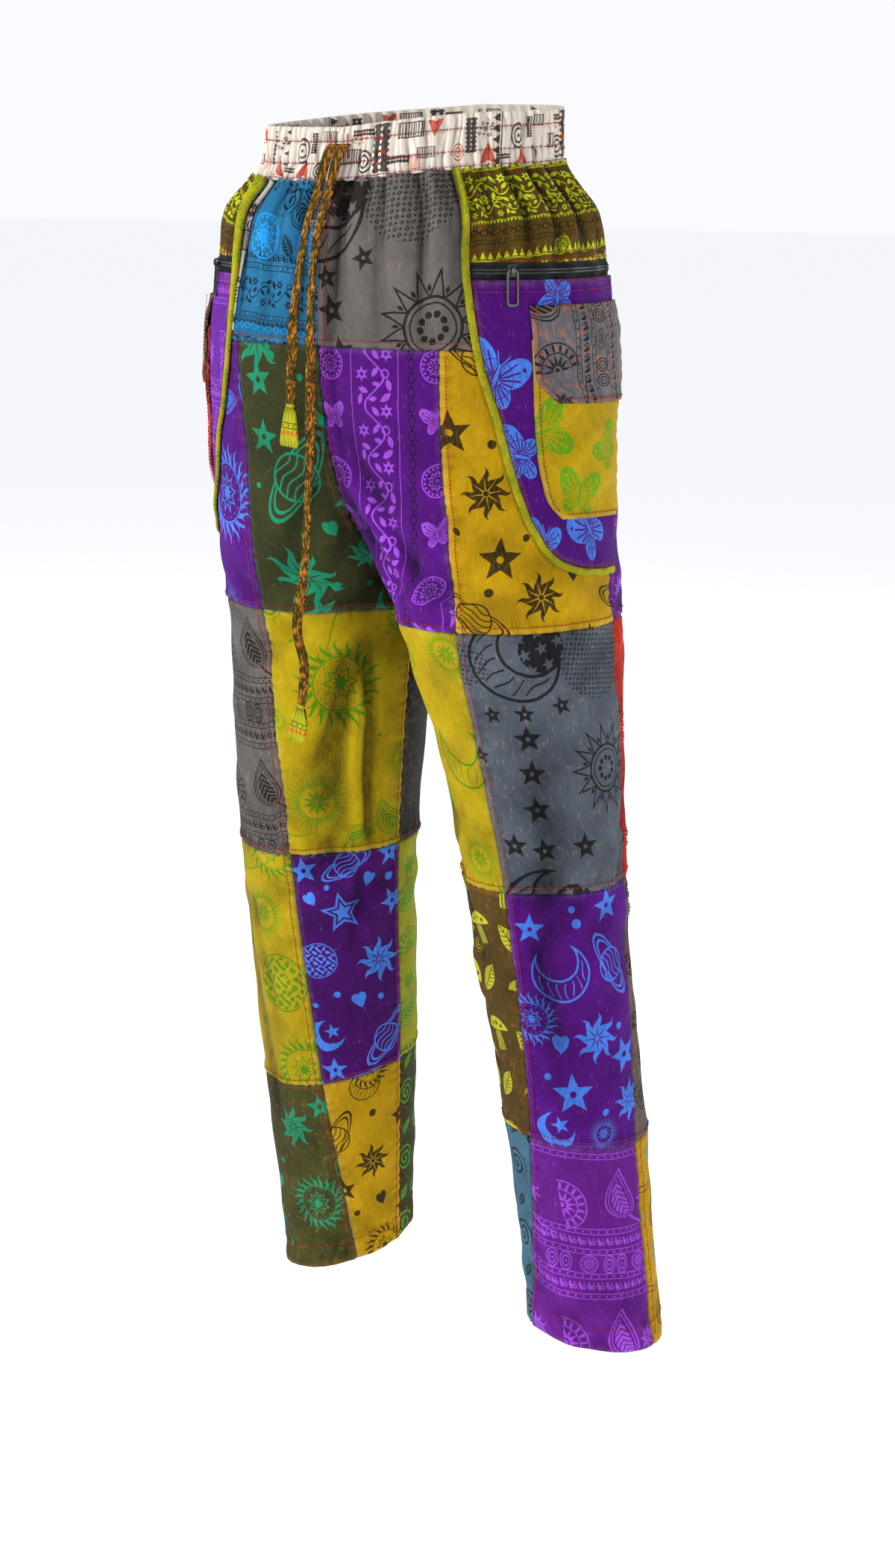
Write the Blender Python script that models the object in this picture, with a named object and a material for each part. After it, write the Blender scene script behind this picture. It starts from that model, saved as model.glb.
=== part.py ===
"""Patchwork cotton trousers in the worn pose: one closed solid for each piece that a maker cuts and sews.

+Z is up, the front faces -Y and the wearer's left is +X. The origin is the middle of the waist opening.
A point of the cloth is named by its half (LEFT or RIGHT), its angle round that half's own ellipse
(-90 degrees is the front, 0 the side, 90 the back) and its height. Where the two ellipses meet is the
centre front, the centre back and, below the crotch, the inseam.
"""

import math

import bmesh
import bpy
from mathutils import Matrix, Vector

for old in list(bpy.data.objects):
    bpy.data.objects.remove(old, do_unlink=True)

LEFT, RIGHT = 1, -1
NAMES = {LEFT: "left", RIGHT: "right"}
MM = 0.001
GAP = 0.3 * MM  # between neighbouring pieces
CLOTH = 1.6 * MM
BAND_WALL = 3.0 * MM
BAND_HEIGHT = 41 * MM

# Heights of the rows of patches
YOKE_END, THIGH_END, KNEE_END, SHIN_END, HEM_END = -0.150, -0.370, -0.585, -0.800, -0.980
ROWS = {
    "thigh": (YOKE_END, -0.190, -0.230, -0.270, -0.303, -0.327, -0.345, THIGH_END),
    "knee": (THIGH_END, -0.405, -0.450, -0.495, -0.540, KNEE_END),
    "shin": (KNEE_END, -0.640, -0.695, -0.750, SHIN_END),
    "hem": (SHIN_END, -0.845, -0.890, -0.935, HEM_END),
}
ACROSS_PATCH = 5  # faces across one patch
YOKE_HEIGHTS = (-0.045, -0.064, -0.084, -0.105, -0.128, YOKE_END)

# The hips, the same on both halves. Columns: height, ellipse centre from the middle plane, half width,
# depth of the front, depth of the back, shift in x, shift in y
HIPS = (
    (0.045, 0.000, 0.127, 0.090, 0.096, 0.000, 0.000),
    (-0.010, 0.000, 0.130, 0.094, 0.100, -0.003, 0.000),
    (-0.026, 0.002, 0.140, 0.098, 0.106, -0.005, 0.001),
    (-0.050, 0.006, 0.158, 0.108, 0.120, -0.009, 0.003),
    (-0.100, 0.014, 0.158, 0.114, 0.130, -0.012, 0.006),
    (-0.150, 0.022, 0.156, 0.116, 0.132, -0.014, 0.008),
    (-0.220, 0.044, 0.132, 0.114, 0.130, -0.014, 0.010),
    (-0.290, 0.070, 0.106, 0.108, 0.120, -0.012, 0.012),
    (-0.345, 0.088, 0.088, 0.100, 0.108, -0.008, 0.014),
    (-0.390, 0.093, 0.085, 0.094, 0.100, -0.006, 0.017),
)
# The legs. Columns: height, centre in x, half width, depth of the front, depth of the back, centre in y
LEGS = {
    LEFT: (
        (-0.480, 0.100, 0.075, 0.080, 0.090, 0.022),
        (-0.620, 0.118, 0.063, 0.072, 0.076, 0.026),
        (-0.760, 0.138, 0.059, 0.066, 0.068, 0.032),
        (-0.900, 0.152, 0.056, 0.060, 0.062, 0.038),
        (-0.990, 0.160, 0.056, 0.060, 0.062, 0.042),
    ),
    RIGHT: (
        (-0.480, -0.106, 0.080, 0.088, 0.090, 0.020),
        (-0.620, -0.120, 0.076, 0.078, 0.078, 0.034),
        (-0.760, -0.126, 0.070, 0.072, 0.072, 0.052),
        (-0.900, -0.130, 0.062, 0.064, 0.064, 0.066),
        (-0.990, -0.130, 0.056, 0.060, 0.060, 0.072),
    ),
}
LEG_SHIFT = -0.006
# Slope of the hem line against x and y, fading in below the thigh
HEM_SLOPE = {LEFT: (-0.15, -0.10), RIGHT: (0.20, 0.22)}
# Height of the band's top edge. Columns: way round from centre front (0) to centre back (1), height
BAND_TOP = {
    LEFT: ((0.0, 0.0165), (0.25, 0.026), (0.5, 0.030), (0.75, 0.034), (1.0, 0.036)),
    RIGHT: ((0.0, 0.0165), (0.25, 0.018), (0.5, 0.022), (0.75, 0.030), (1.0, 0.036)),
}
# Seams between the four columns of a leg. Columns: height, front seam, side seam, back seam in degrees
SEAMS = {
    LEFT: (
        (-0.020, -56, 24, 86),
        (-0.150, -58, 24, 88),
        (-0.280, -67, 20, 90),
        (-0.370, -80, 14, 92),
        (-0.480, -84, 20, 94),
        (-0.585, -80, 24, 95),
        (-0.690, -84, 14, 94),
        (-0.800, -93, 4, 92),
        (-0.910, -109, 4, 92),
        (-0.980, -122, 7, 92),
    ),
    RIGHT: (
        (-0.020, -58, 20, 84),
        (-0.150, -63, 20, 86),
        (-0.260, -78, 18, 88),
        (-0.370, -91, 14, 90),
        (-0.480, -98, 12, 92),
        (-0.585, -104, 10, 92),
        (-0.690, -109, 8, 92),
        (-0.800, -115, 6, 90),
        (-0.890, -124, 4, 88),
        (-0.980, -136, 2, 86),
    ),
}
# Outline of the side pocket from the waistband down its free edge and round to the side seam.
# Columns: degrees, height
POCKET_EDGE = {
    LEFT: ((-47, -0.012), (-48, -0.050), (-49, -0.090), (-47, -0.160), (-43, -0.200), (-40, -0.240),
           (-35, -0.284), (-27, -0.311), (-14, -0.325), (2, -0.330), (15, -0.331)),
    RIGHT: ((-57, -0.018), (-59, -0.050), (-60, -0.090), (-60, -0.160), (-58, -0.200), (-54, -0.240),
            (-47, -0.284), (-36, -0.311), (-20, -0.325), (0, -0.330), (14, -0.331)),
}
ZIP_TOP, ZIP_END = -0.0840, -0.0970
BINDING = 6 * MM
# Columns: degrees of the front corner, height of the top, height of the bottom
POUCH = {LEFT: (-28, -0.142, -0.281), RIGHT: (-36, -0.142, -0.281)}
FLAP = {LEFT: (-28, -0.1165, -0.190), RIGHT: (-36, -0.1165, -0.190)}
SLIDER_DEG = {LEFT: -33, RIGHT: -42}
SLIDER_HEIGHT = -0.0900
HINGE_DEPTH = 4.6  # millimetres from the zip's face to the middle of the slider's eye
PULL_LEAN = {LEFT: 2.4, RIGHT: -1.0}  # degrees that the pull leans in, until it nearly meets the cloth

# Slider in side view: a wide base and a bridge with an eye for the pull.
# Columns, in millimetres: depth (- is out of the cloth), height, half width
SLIDER_BODY = (
    (-2.0, -4.5, 3.6), (-2.0, 0.0, 3.6), (-2.0, 4.5, 3.6), (-3.2, 4.5, 3.6), (-3.4, 3.6, 1.4), (-6.0, 3.2, 1.4),
    (-7.2, 1.6, 1.4), (-7.2, -1.6, 1.4), (-6.0, -3.2, 1.4), (-3.4, -3.6, 1.4), (-3.2, -4.5, 3.6),
)
SLIDER_EYE = (
    (-3.4, -1.2, 1.4), (-3.4, 0.0, 1.4), (-3.4, 1.0, 1.4), (-3.5, 1.5, 1.4), (-3.8, 1.8, 1.4), (-4.9, 1.9, 1.4),
    (-5.8, 1.4, 1.4), (-5.8, -1.4, 1.4), (-4.9, -1.9, 1.4), (-3.8, -1.8, 1.4), (-3.5, -1.5, 1.4),
)

GATHERS = 30  # on each half of the band
YOKE_GATHERS = 15  # on each half below it
# Long soft folds of the legs. Columns: half, degrees and height of each end, half width, depth (- is a trough)
FOLDS = (
    (RIGHT, -150, -0.350, -122, -0.620, 0.016, -0.0050),
    (RIGHT, -132, -0.330, -100, -0.520, 0.018, 0.0035),
    (RIGHT, -40, -0.560, -70, -0.900, 0.018, -0.0035),
    (RIGHT, 60, -0.380, 40, -0.760, 0.020, -0.0040),
    (RIGHT, 130, -0.400, 110, -0.860, 0.020, -0.0040),
    (LEFT, -150, -0.350, -128, -0.640, 0.016, -0.0050),
    (LEFT, -130, -0.300, -108, -0.480, 0.018, 0.0030),
    (LEFT, -45, -0.420, -60, -0.780, 0.018, -0.0035),
    (LEFT, 58, -0.380, 44, -0.800, 0.020, -0.0040),
    (LEFT, 130, -0.420, 118, -0.880, 0.020, -0.0040),
)

# Drawstring ends. Columns: x, distance in front of the band or belly (y), height, in millimetres
CORD_WIDTH, CORD_THICK = 9 * MM, 2.4 * MM
SHORT_CORD = (
    (-5.0, -94.1, 3), (-5.0, -97.5, 3), (-5.4, -101.0, 0), (-6.6, -104.5, -8), (-9.6, -109.5, -28),
    (-16, -115.5, -55), (-21, -117.5, -80), (-27, -118.5, -113), (-31, -118.5, -150), (-34, -118, -195),
)
LONG_CORD = (
    (5.0, -93.9, 3), (5.0, -97.5, 3), (4.8, -101.0, 0), (3.8, -104.5, -8), (1.2, -109.5, -28),
    (-4, -115.5, -55), (-8.5, -117.5, -80), (-11.5, -118.5, -113), (-12.5, -119, -160), (-14, -118, -208),
    (-17, -117, -250), (-21, -116, -300), (-26, -115, -338), (-33, -114, -368), (-33, -113, -384),
    (-28, -113, -400), (-28, -113, -418), (-31, -113, -437),
)
# Tabs on the ends. Columns: distance down, width, thickness in millimetres
FAN_TAB = ((0, 8, 3.2), (5, 11, 4.0), (14, 15, 4.4), (24, 18.5, 4.2), (31, 20, 3.4), (34, 18, 1.6))
DROP_TAB = ((0, 8, 3.2), (5, 12, 4.0), (13, 18, 4.8), (21, 20, 4.8), (28, 17, 4.0), (32, 9, 2.0))

COLOURS = {
    "cream": (0.84, 0.78, 0.68), "olive": (0.11, 0.10, 0.03), "purple": (0.14, 0.02, 0.24),
    "mustard": (0.55, 0.38, 0.02), "yellow": (0.52, 0.42, 0.02), "slate": (0.12, 0.15, 0.18),
    "charcoal": (0.12, 0.11, 0.10), "grey": (0.15, 0.14, 0.14), "brown": (0.16, 0.08, 0.01),
    "denim": (0.03, 0.11, 0.22), "teal": (0.08, 0.16, 0.22), "red": (0.46, 0.03, 0.01),
    "lime": (0.34, 0.36, 0.03), "black": (0.01, 0.01, 0.01), "metal": (0.10, 0.10, 0.10),
    "sand": (0.30, 0.22, 0.05), "lilac": (0.28, 0.08, 0.48),
}
# Colour of each patch, front inner, front outer, back outer, back inner
PATCHES = {
    (RIGHT, "thigh"): ("olive", "purple", "mustard", "slate"),
    (RIGHT, "knee"): ("mustard", "grey", "teal", "charcoal"),
    (RIGHT, "shin"): ("purple", "lime", "red", "yellow"),
    (RIGHT, "hem"): ("mustard", "brown", "lilac", "olive"),
    (LEFT, "thigh"): ("lilac", "mustard", "purple", "olive"),
    (LEFT, "knee"): ("yellow", "slate", "red", "teal"),
    (LEFT, "shin"): ("brown", "purple", "grey", "lime"),
    (LEFT, "hem"): ("teal", "lilac", "mustard", "brown"),
}
COLUMNS = ("front_inner", "front_outer", "back_outer", "back_inner")


def smooth(t):
    """0 below 0, 1 above 1, and an even rise between."""
    t = min(max(t, 0.0), 1.0)
    return t * t * (3 - 2 * t)


def curve_value(table, x, column):
    """Value of a table's column at x: a smooth curve through its rows, flat beyond its ends."""
    rows = table if table[0][0] < table[-1][0] else table[::-1]
    xs = [row[0] for row in rows]
    vs = [row[column] for row in rows]
    if x <= xs[0]:
        return vs[0]
    if x >= xs[-1]:
        return vs[-1]
    i = max(k for k in range(len(xs) - 1) if xs[k] <= x)

    def slope(k):
        a, b = max(k - 1, 0), min(k + 1, len(xs) - 1)
        return (vs[b] - vs[a]) / (xs[b] - xs[a])

    h = xs[i + 1] - xs[i]
    t = (x - xs[i]) / h
    return (
        (2 * t**3 - 3 * t**2 + 1) * vs[i]
        + (t**3 - 2 * t**2 + t) * h * slope(i)
        + (3 * t**2 - 2 * t**3) * vs[i + 1]
        + (t**3 - t**2) * h * slope(i + 1)
    )


BODY = {
    side: HIPS + tuple(
        (z, side * (x - LEG_SHIFT), rx, front, back, LEG_SHIFT, y) for z, x, rx, front, back, y in LEGS[side]
    )
    for side in (LEFT, RIGHT)
}


def section(side, z):
    return [curve_value(BODY[side], z, column) for column in range(1, 7)]


def reach(side, z):
    """Angle at which this half meets the other one: 180 degrees from the crotch down."""
    centre, rx = section(side, z)[:2]
    return math.pi if centre >= rx else math.acos(-centre / rx)


def round_way(side, theta, z):
    """0 at the centre front or inseam's front side, 1 at the centre back."""
    full = reach(side, z)
    return (theta + full) / (2 * full)


def theta_at(side, way, z):
    return (2 * way - 1) * reach(side, z)


def form(side, theta, z):
    """The smooth worn form, before folds: x counts away from the middle plane."""
    centre, rx, front, back, shift_x, shift_y = section(side, z)
    across = rx * math.cos(theta)
    along = (front if theta < 0 else back) * math.sin(theta)
    slope_x, slope_y = HEM_SLOPE[side]
    fade = smooth((THIGH_END - z) / (THIGH_END - HEM_END)) ** 1.5
    return Vector((centre + across, along + shift_y, z + fade * (slope_x * side * across + slope_y * along)))


def outward(side, theta, z):
    step = 0.0004
    round_ = form(side, theta + step, z) - form(side, theta - step, z)
    up = form(side, theta, z + step) - form(side, theta, z - step)
    return round_.cross(up).normalized()


def gather(side, way, z):
    """Gathers below the waistband, deepest at the band."""
    depth = 3.2 * MM * (1 - smooth((-0.020 - z) / 0.125))
    uneven = way + 0.006 * math.sin(6 * math.pi * way)
    wave = math.cos(2 * math.pi * YOKE_GATHERS * uneven)
    return depth * wave * (0.75 + 0.25 * math.cos(10 * math.pi * way))


def folds(side, theta, z):
    radius = 0.085
    total = 0.0
    for half, deg0, z0, deg1, z1, width, depth in FOLDS:
        if half != side:
            continue
        line = Vector((math.radians(deg1 - deg0) * radius, z1 - z0))
        here = Vector(((theta - math.radians(deg0)) * radius, z - z0))
        along = here.dot(line) / line.length_squared
        off = (here.x * line.y - here.y * line.x) / line.length
        ends = smooth(along / 0.25) * smooth((1 - along) / 0.25)
        total += depth * ends * math.exp(-((off / width) ** 2))
    edge = smooth((reach(side, z) - abs(theta)) * radius / 0.02)
    return total * edge


def skin(side, theta, z, lift=0.0):
    """A point of the cloth's outer face, or one this far out from it."""
    way = round_way(side, theta, z)
    out = gather(side, way, z) + folds(side, theta, z) + lift
    point = form(side, theta, z) + outward(side, theta, z) * out
    point.x = max(point.x, GAP / 2)
    return Vector((side * point.x + section(side, z)[4], point.y, point.z))


def band_height(side, way):
    return curve_value(BAND_TOP[side], way, 1)


def seam(side, z, which):
    """Angle of the front, side or back seam (1, 2, 3)."""
    return math.radians(curve_value(SEAMS[side], z, which))


def radius_at(side, theta, z):
    step = 0.001
    return (form(side, theta + step, z) - form(side, theta - step, z)).length / (2 * step)


def material(name, colour):
    made = bpy.data.materials.new(name)
    made.use_nodes = True
    shader = made.node_tree.nodes["Principled BSDF"]
    shader.inputs["Base Color"].default_value = (*COLOURS[colour], 1)
    shader.inputs["Roughness"].default_value = 0.35 if colour == "metal" else 0.9
    shader.inputs["Metallic"].default_value = 0.9 if colour == "metal" else 0.0
    made.diffuse_color = (*COLOURS[colour], 1)
    return made


def add_object(name, points, faces, colour):
    mesh = bpy.data.meshes.new(name)
    mesh.from_pydata([tuple(p) for p in points], [], faces)
    shape = bmesh.new()
    shape.from_mesh(mesh)
    bmesh.ops.recalc_face_normals(shape, faces=shape.faces)
    if shape.calc_volume(signed=True) < 0:
        bmesh.ops.reverse_faces(shape, faces=shape.faces)
    shape.to_mesh(mesh)
    shape.free()
    mesh.materials.append(material(name, colour))
    made = bpy.data.objects.new(name, mesh)
    bpy.context.scene.collection.objects.link(made)
    return made


def slab(name, inner, outer, colour):
    """Closed solid between two grids of points of the same size."""
    rows, cols = len(inner), len(inner[0])
    points = [p for grid in (inner, outer) for row in grid for p in row]

    def at(layer, i, j):
        return layer * rows * cols + i * cols + j

    faces = []
    for i in range(rows - 1):
        for j in range(cols - 1):
            for layer in (0, 1):
                quad = [at(layer, i, j), at(layer, i, j + 1), at(layer, i + 1, j + 1), at(layer, i + 1, j)]
                faces.append(quad if layer else quad[::-1])
    rim = [(0, j) for j in range(cols - 1)] + [(i, cols - 1) for i in range(rows - 1)]
    rim += [(rows - 1, j) for j in range(cols - 1, 0, -1)] + [(i, 0) for i in range(rows - 1, 0, -1)]
    for here, after in zip(rim, rim[1:] + rim[:1]):
        faces.append([at(0, *here), at(0, *after), at(1, *after), at(1, *here)])
    return add_object(name, points, faces, colour)


def cloth(name, side, places, colour, lift=0.0, thick=CLOTH):
    """Slab of cloth on the form. places holds rows of (angle, height); lift is a number or a function of them."""
    def out(theta, z):
        return lift(theta, z) if callable(lift) else lift

    inner = [[skin(side, theta, z, out(theta, z) - thick) for theta, z in row] for row in places]
    outer = [[skin(side, theta, z, out(theta, z)) for theta, z in row] for row in places]
    return slab(name, inner, outer, colour)


def disc(name, side, edge, colour, lift, thick, rings=(0.25, 0.5, 0.75, 1.0)):
    """Slab of cloth inside a closed line of (angle, height), as rings round its middle."""
    middle = [(min(p[k] for p in edge) + max(p[k] for p in edge)) / 2 for k in (0, 1)]
    count = len(edge)
    points, faces = [], []
    for layer, out in enumerate((lift - thick, lift)):
        base = len(points)
        points.append(skin(side, *middle, out))
        for f in rings:
            points += [skin(side, *(m + (p - m) * f for m, p in zip(middle, place)), out) for place in edge]
        for k in range(count):
            n = (k + 1) % count
            faces.append([base, base + 1 + k, base + 1 + n][:: 1 if layer else -1])
            for i in range(len(rings) - 1):
                a, b = base + 1 + i * count, base + 1 + (i + 1) * count
                faces.append([a + k, b + k, b + n, a + n][:: 1 if layer else -1])
    last, other = 1 + (len(rings) - 1) * count, 2 + 2 * (len(rings) - 1) * count + count
    for k in range(count):
        n = (k + 1) % count
        faces.append([last + k, last + n, other + n, other + k])
    return add_object(name, points, faces, colour)


def spread(a, b, count):
    return [a + (b - a) * k / count for k in range(count + 1)]


def patch(side, row, column, colour):
    heights = list(ROWS[row])
    heights[0] -= GAP / 2
    heights[-1] += GAP / 2
    places = []
    for z in heights:
        full = reach(side, z)
        edges = [-full, seam(side, z, 1), seam(side, z, 2), seam(side, z, 3), full]
        a, b = edges[column], edges[column + 1]
        trim_a, trim_b = (GAP / 2 / radius_at(side, t, z) for t in (a, b))
        places.append([(t, z) for t in spread(a + trim_a, b - trim_b, ACROSS_PATCH)])
    return cloth(f"{NAMES[side]}_{row}_{COLUMNS[column]}", side, places, colour)


def waistband():
    count = 6 * GATHERS
    outside = ((0.0, -0.6), (0.10, 0.4), (0.5, 0.8), (0.90, 0.5), (1.0, -0.4))
    inside = ((0.0, -0.6), (0.5, 0.4), (1.0, -0.4))
    grids = []
    for lift, profile in ((-BAND_WALL, inside), (0.0, outside)):
        rings = []
        for v, puff in profile:
            ring = []
            for k in range(count):
                side = LEFT if k < count / 2 else RIGHT
                way = 2 * k / count if side == LEFT else 2 - 2 * k / count
                z = band_height(side, way) - v * BAND_HEIGHT
                theta = theta_at(side, way, z)
                wave = 1.7 * MM * math.cos(2 * math.pi * GATHERS * (way + 0.004 * math.sin(8 * math.pi * way)))
                wave *= 0.8 + 0.2 * math.sin(14 * math.pi * way + v)
                wave *= 0.1 + 0.9 * smooth((way - 0.02) / 0.04)  # flat round the drawstring's buttonhole
                out = form(side, theta, z) + outward(side, theta, z) * (wave + puff * MM + lift)
                if way in (0.0, 1.0):
                    out.x = 0.0
                ring.append(Vector((side * out.x + section(side, z)[4], out.y, out.z)))
            rings.append(ring)
        grids.append(rings)
    inner, outer = grids
    loops = outer + inner[::-1]
    points = [p for ring in loops for p in ring]
    faces = []
    for i in range(len(loops)):
        after = (i + 1) % len(loops)
        for k in range(count):
            n = (k + 1) % count
            faces.append([i * count + k, i * count + n, after * count + n, after * count + k])
    return add_object("waistband", points, faces, "cream")


def band_bottom(side, way):
    return band_height(side, way) - BAND_HEIGHT


def pocket_edge(side, z):
    """Angle of the pocket's free edge down to its corner."""
    return math.radians(curve_value([(h, d) for d, h in POCKET_EDGE[side][:8]], z, 1))


def behind_binding(side, z, extra=0.0):
    edge = pocket_edge(side, z)
    return edge + (BINDING + extra) / radius_at(side, edge, z)


def yoke(side, name, left_edge, right_edge, count, colour, heights=YOKE_HEIGHTS):
    """Gathered piece under the band, between two edges given as functions of height."""
    places = []
    for k in range(len(heights) + 1):
        row = []
        for j in range(count + 1):
            f = j / count
            top = -0.024
            for _ in range(3):
                theta = left_edge(top) * (1 - f) + right_edge(top) * f
                top = band_bottom(side, round_way(side, theta, top)) - GAP
            z = top if k == 0 else heights[k - 1] + (GAP / 2 if k == len(heights) else 0)
            a, b = left_edge(z), right_edge(z)
            a += GAP / 2 / radius_at(side, a, z)
            b -= GAP / 2 / radius_at(side, b, z)
            row.append((a * (1 - f) + b * f, z))
        places.append(row)
    return cloth(name, side, places, colour)


def edge_points(side, count):
    """(angle, height) at even steps along the pocket's outline, and the same curve moved in by the binding."""
    table = [(k, *row) for k, row in enumerate(POCKET_EDGE[side])]
    fine = []
    for k in spread(0, len(table) - 1, 120):
        fine.append((math.radians(curve_value(table, k, 1)), curve_value(table, k, 2)))
    fine[-1] = (seam(side, fine[-1][1], 2) - GAP / 2 / 0.12, fine[-1][1])
    way = band_bottom(side, round_way(side, fine[0][0], -0.02)) - GAP
    fine = [(theta, min(z, way)) for theta, z in fine if z < way + 0.004]
    flat = [Vector((theta * radius_at(side, theta, z), z)) for theta, z in fine]
    walked = [0.0]
    for a, b, fa, fb in zip(fine, fine[1:], flat, flat[1:]):
        r = radius_at(side, a[0], a[1])
        walked.append(walked[-1] + math.hypot((b[0] - a[0]) * r, fb.y - fa.y))
    outer, inner = [], []
    for s in spread(0, walked[-1], count):
        i = min(max(k for k in range(len(walked)) if walked[k] <= s + 1e-9), len(fine) - 2)
        f = (s - walked[i]) / (walked[i + 1] - walked[i])
        (t0, z0), (t1, z1) = fine[i], fine[i + 1]
        theta, z = t0 + (t1 - t0) * f, z0 + (z1 - z0) * f
        r = radius_at(side, theta, z)
        a, b = fine[max(i - 3, 0)], fine[min(i + 4, len(fine) - 1)]
        way_ = Vector(((b[0] - a[0]) * r, b[1] - a[1])).normalized()
        inward = Vector((-way_.y, way_.x))
        outer.append((theta, z))
        inner.append((theta + inward.x * BINDING / r, z + inward.y * BINDING))
    inner[0] = (inner[0][0], outer[0][1])
    inner[-1] = (outer[-1][0], inner[-1][1])
    return outer, inner


def moved_in(outer, inner, extra):
    """The inner line of the binding, moved further in by extra."""
    f = 1 + extra / BINDING
    return [(a[0] + (b[0] - a[0]) * f, a[1] + (b[1] - a[1]) * f) for a, b in zip(outer, inner)]


def pocket(side):
    name = NAMES[side]
    steps = 30
    outer, inner = edge_points(side, steps)
    middle = [((a[0] + b[0]) / 2, (a[1] + b[1]) / 2) for a, b in zip(outer, inner)]
    cloth(f"{name}_pocket_binding", side, [outer, middle, inner], "lime",
          lift=lambda theta, z: 3.0 * MM + 2.2 * MM * (1 - smooth((-0.020 - z) / 0.125)), thick=1.8 * MM)

    def front(z):
        """Angle of the binding's inner line at this height, above its corner."""
        z = min(z, inner[0][1] - 1e-6)
        k = next(k for k in range(1, steps + 1) if inner[k][1] < z)
        (t0, z0), (t1, z1) = inner[k - 1], inner[k]
        return t0 + (t1 - t0) * (z0 - z) / (z0 - z1) + GAP / 2 / 0.13

    def back(z):
        return seam(side, z, 2)

    yoke(side, f"{name}_side_yoke", front, back, 22, "brown", YOKE_HEIGHTS[:3])

    def strip(z_top, z_end, across):
        rows = []
        for v in across:
            z = z_top + (z_end - z_top) * v
            a = front(z) + GAP / 2 / 0.13
            b = back(z) - GAP / 2 / 0.13
            rows.append([(t, z) for t in spread(a, b, 16)])
        return rows

    def coil(theta, z):
        v = (z - ZIP_TOP) / (ZIP_END - ZIP_TOP)
        return 0.4 * MM + 1.2 * MM * smooth((0.36 - abs(v - 0.5)) / 0.10)

    cloth(f"{name}_zip", side, strip(ZIP_TOP - GAP / 2, ZIP_END + GAP / 2, (0, 0.16, 0.30, 0.5, 0.70, 0.84, 1)),
          "black", lift=coil, thick=1.6 * MM)

    # Panel: from the zip down to the binding, as rings round its middle
    inside = moved_in(outer, inner, 2 * GAP)
    top_z = ZIP_END - GAP / 2
    start = next(k for k in range(steps) if inside[k][1] < top_z - 0.004)
    low = inside[-1][1]
    edge = [(front(top_z) + 2 * GAP / 0.13, top_z)] + inside[start:-1]
    edge += [(seam(side, z, 2) - GAP / 2 / 0.12, z) for z in spread(low, top_z, 9)]
    edge += [(t, top_z) for t in spread(edge[-1][0], edge[0][0], 12)[1:-1]]
    disc(f"{name}_pocket_panel", side, edge, "purple" if side == LEFT else "lilac", 2.8 * MM, 1.5 * MM)

    def bulge(theta, z):
        deg, z0, z1 = POUCH[side]
        a, b = math.radians(deg), seam(side, z, 2)
        u, v = (theta - a) / (b - a), (z - z0) / (z1 - z0)
        across = math.sin(math.pi * min(max(u, 0), 1)) ** 0.6
        return 4.0 * MM * across * smooth(v / 0.35) * smooth((1 - v) / 0.25)

    def rounded(deg, z0, z1, corners, rows_, cols):
        """Grid of a piece whose lower front corner is cut off: corners gives the inset at each height."""
        places_ = []
        for k in range(rows_ + 1):
            v = k / rows_
            row_ = []
            for j in range(cols + 1):
                u = j / cols
                z = z0 + (z1 - z0) * v
                a = math.radians(deg) + curve_value(corners, v, 1) * MM / 0.13
                b = seam(side, z, 2) - 1.2 * MM / 0.12
                row_.append((a + (b - a) * u, z - 0.004 * u * v))
            places_.append(row_)
        return places_

    deg, z0, z1 = POUCH[side]
    cloth(f"{name}_patch_pocket", side,
          rounded(deg, z0, z1, ((0, 0), (0.62, 1), (0.80, 3.5), (0.92, 10), (1, 22)), 7, 9),
          "yellow" if side == LEFT else "red",
          lift=lambda theta, z: 5.0 * MM + bulge(theta, z), thick=1.6 * MM)
    deg, z0, z1 = FLAP[side]

    def over_pouch(theta, z):
        top_of_pouch = POUCH[side][1]
        return (5.0 + 2.3 * smooth((z0 - z) / (z0 - top_of_pouch - 0.004))) * MM + bulge(theta, z)

    cloth(f"{name}_pocket_flap", side,
          rounded(deg, z0, z1, ((0, 0), (0.55, 1), (0.78, 3), (1, 19)), 6, 9),
          "slate" if side == LEFT else "charcoal", lift=over_pouch, thick=1.5 * MM)


def frame_at(side, theta, z, lift):
    """Place on the cloth with x along the zip, y out of the cloth and z up it."""
    out = outward(side, theta, z)
    out = Vector((side * out.x, out.y, out.z))
    ahead = skin(side, theta + 0.02, z) - skin(side, theta - 0.02, z)
    ahead = (ahead - out * ahead.dot(out)).normalized()
    up = out.cross(ahead) if side == LEFT else ahead.cross(out)
    place = skin(side, theta, z, lift)
    x = ahead if side == LEFT else -ahead
    grid = Matrix((x, -out, up)).transposed().to_4x4()
    return Matrix.Translation(place) @ grid


def prism(name, outline, hole, place, colour):
    """Closed solid from two rings of equally many (depth, height, half width) points, spread both ways in x."""
    rings = [[Vector((way * w, a, b)) for a, b, w in ring] for way in (-1, 1) for ring in (outline, hole)]
    count = len(outline)
    points = [place @ (p * MM) for ring in rings for p in ring]
    faces = []
    for k in range(count):
        n = (k + 1) % count
        faces += [
            [k, n, count + n, count + k],
            [2 * count + k, 3 * count + k, 3 * count + n, 2 * count + n],
            [k, 2 * count + k, 2 * count + n, n],
            [count + k, count + n, 3 * count + n, 3 * count + k],
        ]
    return add_object(name, points, faces, colour)


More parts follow.
